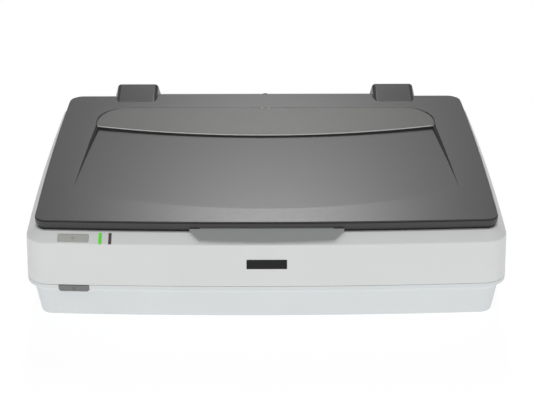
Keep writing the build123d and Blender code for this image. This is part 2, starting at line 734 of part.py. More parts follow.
with BuildPart() as front_rail:
    with BuildSketch(Plane.YZ.offset(-ROD_END_X)):
        with BuildLine():
            Polyline(
                (RAIL_Y - 6, RAIL_TOP_Z),
                (RAIL_Y + 6, RAIL_TOP_Z),
                (RAIL_Y + 6, RAIL_TOP_Z - 1.6),
                (RAIL_Y - 4.4, RAIL_TOP_Z - 1.6),
                (RAIL_Y - 4.4, FLOOR_Z + 1.6),
                (RAIL_Y + 6, FLOOR_Z + 1.6),
                (RAIL_Y + 6, FLOOR_Z),
                (RAIL_Y - 6, FLOOR_Z),
                close=True,
            )
        make_face()
    extrude(amount=ROD_END_X + 258)

with BuildPart() as main_board:
    with Locations((MAIN_X, MAIN_Y, BOARD_Z)):
        Box(190, 122, BOARD_T, align=STANDING)
    with Locations(*[(x, y, BOARD_Z) for x, y in BOARD_SPOTS]):
        Cylinder(SCREW_HOLE_R, 10, mode=Mode.SUBTRACT)
    with Locations((20, 130, 13), (60, 118, 13)):
        Box(24, 24, 3, align=STANDING)
    with Locations((-30, 110, 13), (-30, 130, 13), (-30, 150, 13)):
        Box(20, 9, 3, align=STANDING)
    with Locations((100, 100, 13), (100, 120, 13)):
        Cylinder(5, 14, align=STANDING)
    with Locations((-61, 100, 13)):
        Box(6, 26, 6, align=STANDING)

with BuildPart() as usb_port:
    with Locations((USB_X, SOCKET_FACE_Y, BOARD_TOP_Z + 0.05)):
        Box(12, 21.5, 11, align=(Align.CENTER, Align.MAX, Align.MIN))
    with Locations((USB_X, SOCKET_FACE_Y, USB_Z)):
        Box(8.5, 9, 7.6, align=(Align.CENTER, Align.MAX, Align.CENTER), mode=Mode.SUBTRACT)
    with Locations((USB_X, SOCKET_FACE_Y, USB_Z + 0.4)):
        Box(5.6, 12, 3.2, align=(Align.CENTER, Align.MAX, Align.CENTER))

with BuildPart() as option_socket:
    with Locations((OPTION_X, SOCKET_FACE_Y - 11.5, USB_Z)):
        Cylinder(5.8, 21, rotation=(90, 0, 0))
    with Locations((OPTION_X, SOCKET_FACE_Y - 14.5, USB_Z)):
        Box(14, 6, 11.4)
    with Locations((OPTION_X, SOCKET_FACE_Y - 2, USB_Z)):
        Cylinder(4.6, 14, rotation=(90, 0, 0), mode=Mode.SUBTRACT)

with BuildPart() as ac_inlet:
    with Locations((INLET_X, SOCKET_FACE_Y, INLET_Z)):
        Box(27.2, 26, 20.0)
    chamfer(ac_inlet.edges().filter_by(Axis.Y).group_by(Axis.Z)[-1], 3.5)
    with BuildSketch(Plane.XZ.offset(-SOCKET_FACE_Y - 13)):
        with Locations((INLET_X, INLET_Z)):
            RectangleRounded(23.6, 16.0, 2)
    extrude(amount=19, mode=Mode.SUBTRACT)
    pins = [(INLET_X + dx, SOCKET_FACE_Y + 1.5, INLET_Z + dz) for dx, dz in ((-7, -2), (7, -2), (0, 2))]
    with Locations(*pins):
        Box(2, 16, 4)
    # Front end cut parallel to the tub's leaning rear wall
    wall_lean = atan2(TUB_INSET_LOW - TUB_INSET_HIGH, TUB_TOP_Z - FOOT_H)
    wall_facing = (0, cos(wall_lean), -sin(wall_lean))
    split(bisect_by=Plane((0, SOCKET_FACE_Y + 2.2, INLET_Z), z_dir=wall_facing), keep=Keep.BOTTOM)

with BuildPart() as power_supply:
    with Locations((SUPPLY_X, SUPPLY_Y, BOARD_Z)):
        Box(116, 76, BOARD_T, align=STANDING)
    with Locations(*[(x, y, BOARD_Z) for x, y in BOARD_SPOTS]):
        Cylinder(SCREW_HOLE_R, 10, mode=Mode.SUBTRACT)
    with Locations((205, 125, 13)):
        Box(34, 30, 24, align=STANDING)
    with Locations((255, 150, 13)):
        Cylinder(11, 24, align=STANDING)
    with Locations((232, 118, 13)):
        Box(3, 30, 22, align=STANDING)
    with Locations((192, 160, 13), (212, 164, 13)):
        Cylinder(7, 18, align=STANDING)

with BuildPart() as home_sensor:
    with Locations((SENSOR_X, SENSOR_Y, 30)):
        Box(14, 8, 13, align=STANDING)
    with Locations((SENSOR_X, SENSOR_Y, 37)):
        Box(20, 3.2, 10, align=STANDING, mode=Mode.SUBTRACT)

with BuildPart() as ribbon_cable:
    with BuildSketch(Plane.XZ.offset(-110)):
        with BuildLine():
            route = ((-64.2, 16), (-76, 16), (-76, 7.5), (-262, 7.5), (-262, 40), (-240, 40))
            FilletPolyline(*route, radius=3)
        trace(line_width=0.4)
    extrude(amount=20)

# ---------------------------------------------------------------- belt drive
with BuildPart() as motor_bracket:
    with Locations((DRIVE_X, BELT_Y + 17, 30)):
        Box(36, 56, 1.6, align=STANDING)
    with Locations((DRIVE_X, BELT_Y + 44.2, FLOOR_Z)):
        Box(36, 1.6, 30 - FLOOR_Z + 1.6, align=STANDING)
    with Locations((DRIVE_X, BELT_Y + 49, FLOOR_Z)):
        Box(36, 11, 1.6, align=STANDING)
    with Locations((DRIVE_X, MOTOR_Y, 30)):
        Cylinder(5.6, 10, mode=Mode.SUBTRACT)
    with Locations((DRIVE_X, BELT_Y, 30)):
        Cylinder(AXLE_R, 28, align=STANDING)

with BuildPart() as drive_motor:
    with Locations((DRIVE_X, MOTOR_Y, MOTOR_Z)):
        Cylinder(MOTOR_R, MOTOR_H, align=STANDING)
    chamfer(drive_motor.edges().group_by(Axis.Z)[0], 1)
    with Locations((DRIVE_X, MOTOR_Y, MOTOR_Z + MOTOR_H)):
        Cylinder(5.5, 1.6, align=STANDING)
    with Locations((DRIVE_X, MOTOR_Y, MOTOR_Z + MOTOR_H / 2)):
        Cylinder(MOTOR_BORE_R, MOTOR_H - 2 * MOTOR_CAN_T, mode=Mode.SUBTRACT)
    with Locations((DRIVE_X, MOTOR_Y, MOTOR_Z + MOTOR_H)):
        Cylinder(SHAFT_R + RUN, 6, mode=Mode.SUBTRACT)

# Magnet drum on the shaft that carries the pinion
with BuildPart() as motor_rotor:
    with Locations((DRIVE_X, MOTOR_Y, MOTOR_Z + 1.4)):
        Cylinder(SHAFT_R, 30.6, align=STANDING)
    with Locations((DRIVE_X, MOTOR_Y, MOTOR_Z + 4)):
        Cylinder(ROTOR_R, MOTOR_H - 8, align=STANDING)


def pulley_drum():
    """Drum between two flanges, standing at the origin at the belt's height."""
    with BuildPart(mode=Mode.PRIVATE) as drum:
        with Locations((0, 0, BELT_Z)):
            Cylinder(PITCH_R - BELT_T / 2 - 0.05, BELT_W + 1)
        for side in (-1, 1):
            with Locations((0, 0, BELT_Z + side * (BELT_W / 2 + 1))):
                Cylinder(PITCH_R + 2, 1)
    return drum.part


with BuildPart() as drive_gear:
    with Locations((DRIVE_X, BELT_Y, 0)):
        add(pulley_drum())
    with Locations((DRIVE_X, BELT_Y, 32)):
        Cylinder(5, BELT_Z - 34, align=STANDING)
    with BuildSketch(Plane((DRIVE_X, BELT_Y, 32.2), x_dir=(0, 1, 0), z_dir=(0, 0, 1))):
        add(gear_outline(GEAR_TEETH))
    extrude(amount=6)
    with Locations((DRIVE_X, BELT_Y, BELT_Z)):
        Cylinder(AXLE_R + RUN, 80, mode=Mode.SUBTRACT)

# The pinion is turned half a tooth so that a gap faces the gear's tooth
with BuildPart() as motor_pinion:
    half_tooth = pi / PINION_TEETH
    tooth_dir = (sin(half_tooth), -cos(half_tooth), 0)
    with BuildSketch(Plane((DRIVE_X, MOTOR_Y, 31.8), x_dir=tooth_dir, z_dir=(0, 0, 1))):
        add(gear_outline(PINION_TEETH))
        Circle(SHAFT_R + RUN, mode=Mode.SUBTRACT)
    extrude(amount=7)

with BuildPart() as idler_bracket:
    with Locations((IDLER_X + 13, BELT_Y, 40.1)):
        Box(42, 12, 1.6, align=STANDING)
    with Locations((IDLER_X + 33, BELT_Y, 35)):
        Box(1.6, 12, 6.7, align=STANDING)
    with Locations((IDLER_X, BELT_Y, 40.1)):
        Cylinder(AXLE_R, 16.5, align=STANDING)

with BuildPart() as idler_pulley:
    with Locations((IDLER_X, BELT_Y, 0)):
        add(pulley_drum())
    with Locations((IDLER_X, BELT_Y, BELT_Z)):
        Cylinder(4, 14)
        Cylinder(AXLE_R + RUN, 80, mode=Mode.SUBTRACT)

with BuildPart() as belt_spring:
    spring_x = IDLER_X + 34.4
    spring_length = -233.4 - spring_x
    with BuildLine() as coil:
        spring_start = (spring_x, BELT_Y, 37.6)
        Helix(spring_length / 9, spring_length, 2.2, center=spring_start, direction=(1, 0, 0))
    with BuildSketch(Plane(coil.line @ 0, z_dir=coil.line % 0)):
        Circle(0.4)
    sweep()

with BuildPart() as drive_belt:
    span = DRIVE_X - IDLER_X
    with BuildSketch(Plane.XY.offset(BELT_Z - BELT_W / 2)):
        with Locations(((DRIVE_X + IDLER_X) / 2, BELT_Y)):
            SlotCenterToCenter(span, 2 * PITCH_R + BELT_T)
            SlotCenterToCenter(span, 2 * PITCH_R - BELT_T, mode=Mode.SUBTRACT)
    extrude(amount=BELT_W)

# ---------------------------------------------------------------- carriage

def carriage_profile(inset):
    """Side profile of the carriage, moved in by inset and open at the top when inset."""
    with BuildSketch(mode=Mode.PRIVATE) as side:
        with BuildLine():
            Polyline(
                (CARRIAGE_FRONT_Y + inset, CARRIAGE_TOP_Z + inset),
                (CARRIAGE_FRONT_Y + inset, 62 + inset),
                (-138 + inset, 62 + inset),
                (-138 + inset, CARRIAGE_BOTTOM_Z + inset),
                (134 - inset, CARRIAGE_BOTTOM_Z + inset),
                (134 - inset, 72 + inset),
                (CARRIAGE_REAR_Y - inset, 72 + inset),
                (CARRIAGE_REAR_Y - inset, CARRIAGE_TOP_Z + inset),
                close=True,
            )
        make_face()
    return side.sketch


with BuildPart() as carriage_housing:
    with BuildSketch(Plane.YZ.offset(CARRIAGE_LEFT_X)):
        add(carriage_profile(0))
    extrude(amount=CARRIAGE_W)
    # Bearing blocks for the two rod bushes
    with Locations((CARRIAGE_X - 34, ROD_Y, ROD_Z), (CARRIAGE_X + 34, ROD_Y, ROD_Z)):
        Box(18, 22, 26)
    with BuildSketch(Plane.YZ.offset(CARRIAGE_LEFT_X + SHELL_T)):
        add(carriage_profile(SHELL_T))
    extrude(amount=CARRIAGE_W - 2 * SHELL_T, mode=Mode.SUBTRACT)
    with Locations((CARRIAGE_X, ROD_Y, ROD_Z)):
        Cylinder(8.02, 200, rotation=(0, 90, 0), mode=Mode.SUBTRACT)
    # Posts for the sensor board
    with Locations(*[(CARRIAGE_LEFT_X + SHELL_T, CARRIAGE_MID_Y + dy, 108) for dy in (-38, 38)]):
        Box(4, 6, 6, align=(Align.MIN, Align.CENTER, Align.CENTER))

with BuildPart() as carriage_cover:
    with BuildSketch(Plane.XY.offset(CARRIAGE_TOP_Z)):
        with Locations((CARRIAGE_X, CARRIAGE_MID_Y)):
            Rectangle(CARRIAGE_W, CARRIAGE_REAR_Y - CARRIAGE_FRONT_Y)
        with Locations((SLIT_X, CARRIAGE_MID_Y)):
            Rectangle(7, OPENING_Y - 12, mode=Mode.SUBTRACT)
    extrude(amount=1.5)

with BuildPart() as lamp_bars:
    for side, inner in ((-1, -1), (1, 0)):
        with BuildSketch(Plane.XZ.offset(-CARRIAGE_MID_Y - OPENING_Y / 2 + 3)):
            with Locations((SLIT_X + side * LAMP_OFF, CARRIAGE_TOP_Z + 4.5)):
                bar = Rectangle(LAMP_W, LAMP_H)
                chamfer(bar.vertices().group_by(Axis.Y)[-1].group_by(Axis.X)[inner], LAMP_CHAMFER)
        extrude(amount=OPENING_Y - 6)


# Three front-silvered strips that fold the light path; each tilt turns the face from +X
with BuildPart() as fold_mirrors:
    for x, z, tilt in ((12, 60, 135), (-36, 62, 13), (36, 95, 193)):
        normal = (cos(radians(tilt)), 0, sin(radians(tilt)))
        with BuildSketch(Plane((CARRIAGE_X + x, CARRIAGE_MID_Y - 3, z), x_dir=(0, 1, 0), z_dir=normal)):
            Rectangle(256, 18)
        extrude(amount=-3)

with BuildPart() as lens_mount:
    with Locations((CARRIAGE_X, CARRIAGE_MID_Y, CARRIAGE_TOP_Z)):
        Box(16, 34, 36, align=HANGING)
    with Locations((CARRIAGE_X, CARRIAGE_MID_Y, LENS_Z)):
        Cylinder(LENS_BARREL_R + 0.05, 40, rotation=(0, 90, 0), mode=Mode.SUBTRACT)

with BuildPart() as lens_barrel:
    with Locations((CARRIAGE_X, CARRIAGE_MID_Y, LENS_Z)):
        Cylinder(LENS_BARREL_R, 26, rotation=(0, 90, 0))
        Cylinder(LENS_BORE_R, 40, rotation=(0, 90, 0), mode=Mode.SUBTRACT)

with BuildPart() as lens_glass:
    for side in (-1, 1):
        with Locations((CARRIAGE_X + side * 9, CARRIAGE_MID_Y, LENS_Z)):
            Cylinder(LENS_BORE_R - 0.1, 2.4, rotation=(0, 90, 0))

with BuildPart() as sensor_board:
    with Locations((CARRIAGE_LEFT_X + SHELL_T + 4.1, CARRIAGE_MID_Y, 98)):
        Box(1.6, 92, 34, align=(Align.MIN, Align.CENTER, Align.CENTER))

with BuildPart() as image_sensor:
    with Locations((CARRIAGE_LEFT_X + SHELL_T + 5.8, CARRIAGE_MID_Y, LENS_Z)):
        Box(3.2, 64, 10, align=(Align.MIN, Align.CENTER, Align.CENTER))

with BuildPart() as rod_bushes:
    with Locations((CARRIAGE_X - 34, ROD_Y, ROD_Z), (CARRIAGE_X + 34, ROD_Y, ROD_Z)):
        Cylinder(8, 18, rotation=(0, 90, 0))
    with Locations((CARRIAGE_X, ROD_Y, ROD_Z)):
        Cylinder(ROD_R + RUN, 200, rotation=(0, 90, 0), mode=Mode.SUBTRACT)

with BuildPart() as rail_slider:
    with Locations((CARRIAGE_X, RAIL_Y, RAIL_TOP_Z + 0.05)):
        Box(24, 10, 62 - RAIL_TOP_Z - 0.05, align=STANDING)
    chamfer(rail_slider.edges().group_by(Axis.Z)[0].filter_by(Axis.Y), 1.5)

with BuildPart() as belt_clamp:
    with Locations((CARRIAGE_X, BELT_RUN_Y, BELT_Z)):
        Box(24, 6, 12)
    with Locations((CARRIAGE_X, CARRIAGE_FRONT_Y - 3.25, 68)):
        Box(24, 6.5, 12)
    with Locations((CARRIAGE_X, BELT_RUN_Y + 2, 58)):
        Box(24, 2, 12)
    with Locations((CARRIAGE_X, BELT_RUN_Y, BELT_Z)):
        Box(60, BELT_T + 0.3, BELT_W + 0.3, mode=Mode.SUBTRACT)
    # Flag that breaks the home sensor's beam
    with Locations((-256, SENSOR_Y, 40)):
        Box(16, 1.2, 8, align=STANDING)

# Fork under the carriage that the transport lock's hook enters
with BuildPart() as lock_catch:
    with Locations((CARRIAGE_X, LOCK_Y + 16, CARRIAGE_BOTTOM_Z)):
        Box(22, 16, 1.5, align=HANGING)
    with Locations(*[(CARRIAGE_X + side * 5.5, LOCK_Y + 13, CARRIAGE_BOTTOM_Z) for side in (-1, 1)]):
        Box(2, 10, 8, align=HANGING)

# ---------------------------------------------------------------- hinge
with BuildPart() as hinge_guides:
    for side in (-1, 1):
        with BuildSketch(Plane.XY.offset(POST_BOTTOM_Z)):
            with Locations((side * POST_X, POST_Y)):
                Rectangle(POST_W + 5.6, POST_T + 4.2)
        extrude(amount=NOTCH_FLOOR_Z - POST_BOTTOM_Z)
        with BuildSketch(Plane.XY.offset(NOTCH_FLOOR_Z)):
            with Locations((side * POST_X, POST_Y + 1)):
                Rectangle(POST_W + 12, POST_T + 2.6)
        extrude(amount=1.6)
        with BuildSketch(Plane.XY.offset(POST_BOTTOM_Z)):
            with Locations((side * POST_X, POST_Y)):
                Rectangle(POST_W + 0.2, POST_T + 0.2)
        extrude(amount=NOTCH_FLOOR_Z, mode=Mode.SUBTRACT)


# Sliding posts that carry the lid's hinges and let them rise over a thick book
with BuildPart() as hinge_posts:
    with Locations(*[(side * POST_X, POST_Y, POST_BOTTOM_Z) for side in (-1, 1)]):
        Box(POST_W, POST_T, POST_TOP_Z - POST_BOTTOM_Z, align=STANDING)
    chamfer(hinge_posts.edges().filter_by(Axis.X).group_by(Axis.Z)[0], 1.5)
    with Locations(*[(side * POST_X, (POST_Y + AXIS_Y) / 2, POST_TOP_Z - 4) for side in (-1, 1)]):
        Box(2 * KNUCKLE_HALF, POST_T - 1, AXIS_Z - POST_TOP_Z + 4, align=STANDING)
    with Locations(*[(side * POST_X, AXIS_Y, AXIS_Z) for side in (-1, 1)]):
        Cylinder(KNUCKLE_R, 2 * KNUCKLE_HALF, rotation=(0, 90, 0))
        Cylinder(PIN_R + RUN, 60, rotation=(0, 90, 0), mode=Mode.SUBTRACT)
    # Lightening pockets in the rear face
    with Locations(*[(side * POST_X, POST_Y + POST_T / 2, z) for side in (-1, 1) for z in (74, 92, 110)]):
        Box(20, 6, 12, mode=Mode.SUBTRACT)

with BuildPart() as hinge_pins:
    for side in (-1, 1):
        with Locations((side * POST_X, AXIS_Y, AXIS_Z)):
            Cylinder(PIN_R, 2 * (KNUCKLE_HALF + EAR_T + 1.5), rotation=(0, 90, 0))
    chamfer(hinge_pins.edges(), 0.5)


# Plates screwed to the lid's pan, each with two ears that turn on a hinge pin
with BuildPart() as hinge_brackets:
    for side, end in ((-1, -1), (-1, 1), (1, -1), (1, 1)):
        ear_x = side * POST_X + end * (KNUCKLE_HALF + 0.3 + EAR_T / 2) - EAR_T / 2
        with BuildSketch(Plane.YZ.offset(ear_x)):
            with BuildLine():
                Polyline(
                    (164, PAN_TOP_Z),
                    (196, PAN_TOP_Z),
                    (AXIS_Y, AXIS_Z - KNUCKLE_R),
                    (AXIS_Y, AXIS_Z + KNUCKLE_R),
                    (205, 149.3),
                    (190, 145.0),
                    (164, 143.0),
                    close=True,
                )
            make_face()
            with Locations((AXIS_Y, AXIS_Z)):
                Circle(KNUCKLE_R)
                Circle(PIN_R + RUN, mode=Mode.SUBTRACT)
        extrude(amount=EAR_T)
    for side in (-1, 1):
        with Locations((side * POST_X, 164, PAN_TOP_Z)):
            Box(2 * KNUCKLE_HALF + 2, 33, 2, align=(Align.CENTER, Align.MIN, Align.MIN))
        with Locations(*[(side * x, y, PAN_TOP_Z) for x, y in BRACKET_SPOTS]):
            Cylinder(SCREW_HOLE_R, 20, mode=Mode.SUBTRACT)

with BuildPart() as bracket_screws:
    add(pan_screws([(side * x, y) for side in (-1, 1) for x, y in BRACKET_SPOTS], PAN_TOP_Z + 2, 4))

# ---------------------------------------------------------------- lid
# Space above the recessed panel, which rises forward until it meets the lid's top
with BuildPart() as recess_space:
    stations = (LIP_END_Y + 5, (LIP_END_Y + PANEL_FRONT_Y) / 2, PANEL_FRONT_Y - 40)
    with BuildLine(Plane.YZ) as panel_line:
        ThreePointArc(*[(y, panel_z(y)) for y in stations])
    with BuildSketch(Plane(panel_line.line @ 0, x_dir=(1, 0, 0), z_dir=panel_line.line % 0)):
        with BuildLine():
            rims = [(side * 290, 290**2 / (2 * PANEL_BOW_R)) for side in (-1, 1)]
            ThreePointArc(rims[0], (0, 0), rims[1])
            Polyline(rims[1], (290, 40), (-290, 40), rims[0])
        make_face()
    sweep()
    with BuildSketch(Plane.XY.offset(152)):
        add(recess_outline(0, 8))
    extrude(amount=-14, taper=RECESS_DRAFT, mode=Mode.INTERSECT)
    with BuildSketch(Plane.XY.offset(RECESS_Z)):
        add(brow_outline())
    extrude(amount=12)

# Tray under the recess
with BuildPart() as recess_tray:
    with BuildSketch(Plane.YZ):
        with BuildLine():
            low = RECESS_Z - RECESS_T
            share = (LIP_MID_Y - PANEL_FRONT_Y) / (LIP_END_Y - PANEL_FRONT_Y)
            rise = (crown_z(PANEL_FRONT_Y) - RECESS_Z) * share
            Polyline(
                (PANEL_FRONT_Y - 12, low + rise),
                (LIP_MID_Y + 8, low),
                (CREASE_Y + 4, low),
                (CREASE_Y + 4, 160),
                (PANEL_FRONT_Y - 12, 160),
                close=True,
            )
        make_face()
    extrude(amount=300, both=True)
    with BuildSketch(Plane.XY.offset(130)):
        add(recess_outline(RECESS_T, 4))
    extrude(amount=40, mode=Mode.INTERSECT)
    add(above_crown(), mode=Mode.SUBTRACT)

with BuildPart() as lid_top_shell:
    with BuildSketch(Plane.XY.offset(130)):
        add(lid_outline())
    extrude(amount=40)
    add(above_crown(SKIN), mode=Mode.INTERSECT)
    add(above_crown(), mode=Mode.SUBTRACT)
    add(recess_tray.part)
    hood_skin = hood_block(0, LID_FACE_Z - 1)
    hood_space = hood_block(HOOD_T, LID_BOTTOM_Z - 10)
    add(hood_skin)
    add(mirror(hood_skin, about=Plane.YZ, mode=Mode.PRIVATE))
    add(hood_space, mode=Mode.SUBTRACT)
    add(mirror(hood_space, about=Plane.YZ, mode=Mode.PRIVATE), mode=Mode.SUBTRACT)
    add(recess_space.part, mode=Mode.SUBTRACT)
    for side in (-1, 1):
        # Room for the bracket's ears in front, and for the post behind
        with Locations((side * POST_X, 180, 146)):
            Box(38, 40, 12, align=HANGING, mode=Mode.SUBTRACT)
        with Locations((side * POST_X, HOOD_REAR_Y, AXIS_Z - 0.5)):
            Box(38, 10, 12, align=HANGING, mode=Mode.SUBTRACT)

with BuildPart() as lid_brow:
    with BuildSketch(Plane.XY.offset(RECESS_Z + 0.05)):
        add(brow_outline(0.15))
    extrude(amount=15)
    with BuildSketch(Plane.YZ):
        with BuildLine():
            crease_z = crown_z(CREASE_Y) - 0.2
            run = CREASE_Y - LIP_MID_Y
            rear_end = (CREASE_Y + 10, crease_z + 0.2)
            front_end = (LIP_MID_Y - 10, LIP_Z - 10 * (crease_z - LIP_Z) / run)
            ThreePointArc(rear_end, (LIP_MID_Y + run / 2, (crease_z + LIP_Z) / 2 + 0.4), front_end)
            Polyline(front_end, (LIP_MID_Y - 10, 190), (CREASE_Y + 10, 190), rear_end)
        make_face()
    extrude(amount=300, both=True, mode=Mode.SUBTRACT)
    fillet(lid_brow.faces().sort_by(Axis.Y)[0].edges().sort_by(Axis.Z)[-1], LIP_ROUND)

with BuildPart() as lid_frame:
    with BuildSketch(Plane.XY.offset(LID_FACE_Z)):
        add(lid_outline(FRAME_PROUD))
    extrude(amount=12)
    with BuildSketch(Plane.XY.offset(LID_BOTTOM_Z)):
        add(lid_outline(-UNDERCUT))
    extrude(amount=LID_FACE_Z - LID_BOTTOM_Z)
    # Skirt that closes the gap over the case
    with BuildSketch(Plane.XY.offset(SKIRT_Z)):
        add(lid_outline(-UNDERCUT))
        add(lid_outline(-UNDERCUT - SKIRT_T), mode=Mode.SUBTRACT)
    extrude(amount=LID_BOTTOM_Z + 1 - SKIRT_Z)
    add(above_crown(SKIN + 0.05), mode=Mode.SUBTRACT)
    with BuildSketch(Plane.XY.offset(PAN_TOP_Z)):
        add(lid_outline(-FRAME_RIM))
    extrude(amount=20, mode=Mode.SUBTRACT)
    for side in (-1, 1):
        with Locations((side * HOOD_X, 196.5, SKIRT_Z - 1)):
            gap = (2 * HOOD_BASE_HALF + 1, 40, 20)
            Box(*gap, align=(Align.CENTER, Align.MIN, Align.MIN), mode=Mode.SUBTRACT)
        with Locations(*[(side * x, y, LID_BOTTOM_Z) for x, y in BRACKET_SPOTS]):
            Cylinder(SCREW_R + RUN, 10, mode=Mode.SUBTRACT)

with BuildPart() as document_mat:
    with BuildSketch(Plane.XY.offset(GLASS_TOP_Z + 0.4)):
        with Locations((0, PLATEN_Y)):
            RectangleRounded(OPENING_X - 4, OPENING_Y - 4, 3)
    extrude(amount=LID_BOTTOM_Z - GLASS_TOP_Z - 0.4)

# Grip in front of the bevel, parallel to it, with a tongue under the lid's frame
with BuildPart() as lid_handle:
    with BuildSketch(shoulder_plane(0).offset(HANDLE_OFF - HANDLE_T)):
        with BuildLine():
            ThreePointArc((-HANDLE_LOW_HALF, HANDLE_END), (0, HANDLE_LOW), (HANDLE_LOW_HALF, HANDLE_END))
            Polyline(
                (HANDLE_LOW_HALF, HANDLE_END),
                (HANDLE_TOP_HALF, HANDLE_TOP - 3),
                (HANDLE_TOP_HALF, HANDLE_TOP),
                (-HANDLE_TOP_HALF, HANDLE_TOP),
                (-HANDLE_TOP_HALF, HANDLE_TOP - 3),
                (-HANDLE_LOW_HALF, HANDLE_END),
            )
        make_face()
    extrude(amount=HANDLE_T)
    outward = Axis((0, 0, 0), (0, -1, 1))
    corners = lid_handle.edges().filter_by(outward).group_by(Axis.Z)
    fillet(corners[0], 8)
    fillet(lid_handle.faces().sort_by(outward)[-1].edges(), 1.0)
    with Locations((0, LID_FRONT_Y + UNDERCUT - 0.1, LID_FACE_Z - 0.1)):
        Box(180, 3.4, 2.6, align=(Align.CENTER, Align.MAX, Align.MAX))

with BuildPart() as lid_bumpers:
    with Locations(*[(x, y, CASE_TOP_Z + 0.1) for x in (-285, 285) for y in (-184, 180)]):
        Cylinder(5, LID_BOTTOM_Z - CASE_TOP_Z - 0.1, align=STANDING)

# ---------------------------------------------------------------- one file for each piece
pieces = {
    "lower_case": lower_case,
    "upper_case": upper_case,
    "platen_glass": platen_glass,
    "glass_tape": glass_tape,
    "glass_clips": glass_clips,
    "calibration_strip": calibration_strip,
    "badge_plate": badge_plate,
    "rubber_feet": rubber_feet,
    "case_screws": case_screws,
    "start_button": start_button,
    "ready_light_pipe": ready_light_pipe,
    "error_light_pipe": error_light_pipe,
    "control_board": control_board,
    "power_button": power_button,
    "switch_board": switch_board,
    "transport_lock": transport_lock,
    "guide_rod": guide_rod,
    "rod_clamps": rod_clamps,
    "base_screws": base_screws,
    "front_rail": front_rail,
    "main_board": main_board,
    "usb_port": usb_port,
    "option_socket": option_socket,
    "ac_inlet": ac_inlet,
    "power_supply": power_supply,
    "home_sensor": home_sensor,
    "ribbon_cable": ribbon_cable,
    "motor_bracket": motor_bracket,
    "drive_motor": drive_motor,
    "drive_gear": drive_gear,
    "motor_rotor": motor_rotor,
    "motor_pinion": motor_pinion,
    "idler_bracket": idler_bracket,
    "idler_pulley": idler_pulley,
    "belt_spring": belt_spring,
    "drive_belt": drive_belt,
    "carriage_housing": carriage_housing,
    "carriage_cover": carriage_cover,
    "lamp_bars": lamp_bars,
    "fold_mirrors": fold_mirrors,
    "lens_mount": lens_mount,
    "lens_barrel": lens_barrel,
    "lens_glass": lens_glass,
    "sensor_board": sensor_board,
    "image_sensor": image_sensor,
    "rod_bushes": rod_bushes,
    "rail_slider": rail_slider,
    "belt_clamp": belt_clamp,
    "lock_catch": lock_catch,
    "hinge_guides": hinge_guides,
    "hinge_posts": hinge_posts,
    "hinge_pins": hinge_pins,
    "hinge_brackets": hinge_brackets,
    "bracket_screws": bracket_screws,
    "lid_top_shell": lid_top_shell,
    "lid_brow": lid_brow,
    "lid_frame": lid_frame,
    "document_mat": document_mat,
    "lid_handle": lid_handle,
    "lid_bumpers": lid_bumpers,
}
for name, piece in pieces.items():
    piece.part.label = name
    export_step(piece.part, f"parts/{name}.step")
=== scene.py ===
import json
from math import cos, pi, radians, sin

import bmesh
import bpy
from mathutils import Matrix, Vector


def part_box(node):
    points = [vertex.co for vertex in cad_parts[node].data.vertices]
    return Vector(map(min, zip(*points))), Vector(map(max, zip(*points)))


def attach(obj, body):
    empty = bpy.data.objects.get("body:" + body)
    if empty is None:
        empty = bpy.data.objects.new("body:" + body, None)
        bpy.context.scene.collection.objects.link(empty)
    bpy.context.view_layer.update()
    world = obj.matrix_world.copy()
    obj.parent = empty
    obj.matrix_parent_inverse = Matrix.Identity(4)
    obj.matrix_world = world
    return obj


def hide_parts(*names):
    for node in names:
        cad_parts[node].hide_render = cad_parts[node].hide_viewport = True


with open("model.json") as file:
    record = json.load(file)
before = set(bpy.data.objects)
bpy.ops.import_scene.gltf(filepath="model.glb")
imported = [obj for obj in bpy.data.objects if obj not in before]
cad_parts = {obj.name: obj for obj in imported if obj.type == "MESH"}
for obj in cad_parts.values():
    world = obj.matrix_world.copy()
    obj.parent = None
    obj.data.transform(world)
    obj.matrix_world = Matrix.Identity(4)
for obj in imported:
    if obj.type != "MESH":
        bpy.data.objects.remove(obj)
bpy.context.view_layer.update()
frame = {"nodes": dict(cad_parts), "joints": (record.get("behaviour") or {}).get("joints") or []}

MM = 0.001
SCENE = bpy.context.scene

# Camera
LENS_MM = 96.24
SENSOR_MM = 36.0
EYE = (-0.0092, -1.8809, 1.0782)
LOOK_DOWN = radians(28.184)
LOOK_RIGHT = radians(0.305)

# Materials
SOFT_EDGE = 0.4 * MM
# Reach of the pale edges: rubbed wear, and on the lid and brow a painted edge highlight
WEAR_AND_HIGHLIGHT_EDGE = 0.6 * MM
WIRE_PITCH = 1.25 * MM

# Light, as strengths of the sky
EVEN_LIGHT = 0.76
FRONT_EXTRA = 0.35
REAR_LOSS = -0.3
SIDE_LOSS = -0.7
PANEL_LIGHT = 8.5
PANEL_AT = (0.4, 38.5)  # azimuth and elevation, in degrees
PANEL_SPREAD = (5.4, 11.5)
FLOOR_GLOW = 1.27
FLOOR_GLOW_SHARE = 0.60
FLOOR_REACH = 30.0

# Small pieces
FOOT_R = 11 * MM
BUMPER_R = 5 * MM
BUMPER_STEPS = 28
FILM_T = 0.5 * MM
MAT_CORNER_R = 3 * MM
INK_PROUD = 0.12 * MM
SCALE_INK = 0.04 * MM
SCALE_STEP = 10 * MM
SCALE_GAP = 4 * MM
LONG_TICK = 6 * MM
LONG_EVERY = 5
SHORT_TICK = 3 * MM
TICK_HALF = 0.22 * MM
ARROW = 9 * MM
PIP_R = 0.9 * MM
PIP_X = 4.9 * MM
TAB_HALF = 4.8 * MM
TAB_REACH = 4.6 * MM
TAB_ROOT = 2.0 * MM
TAB_Y = 216.0 * MM
TAB_TOP = 147.5 * MM
BELT_BACK = 0.7 * MM
BELT_TOOTH = 0.65 * MM
BELT_PITCH = 2.5 * MM


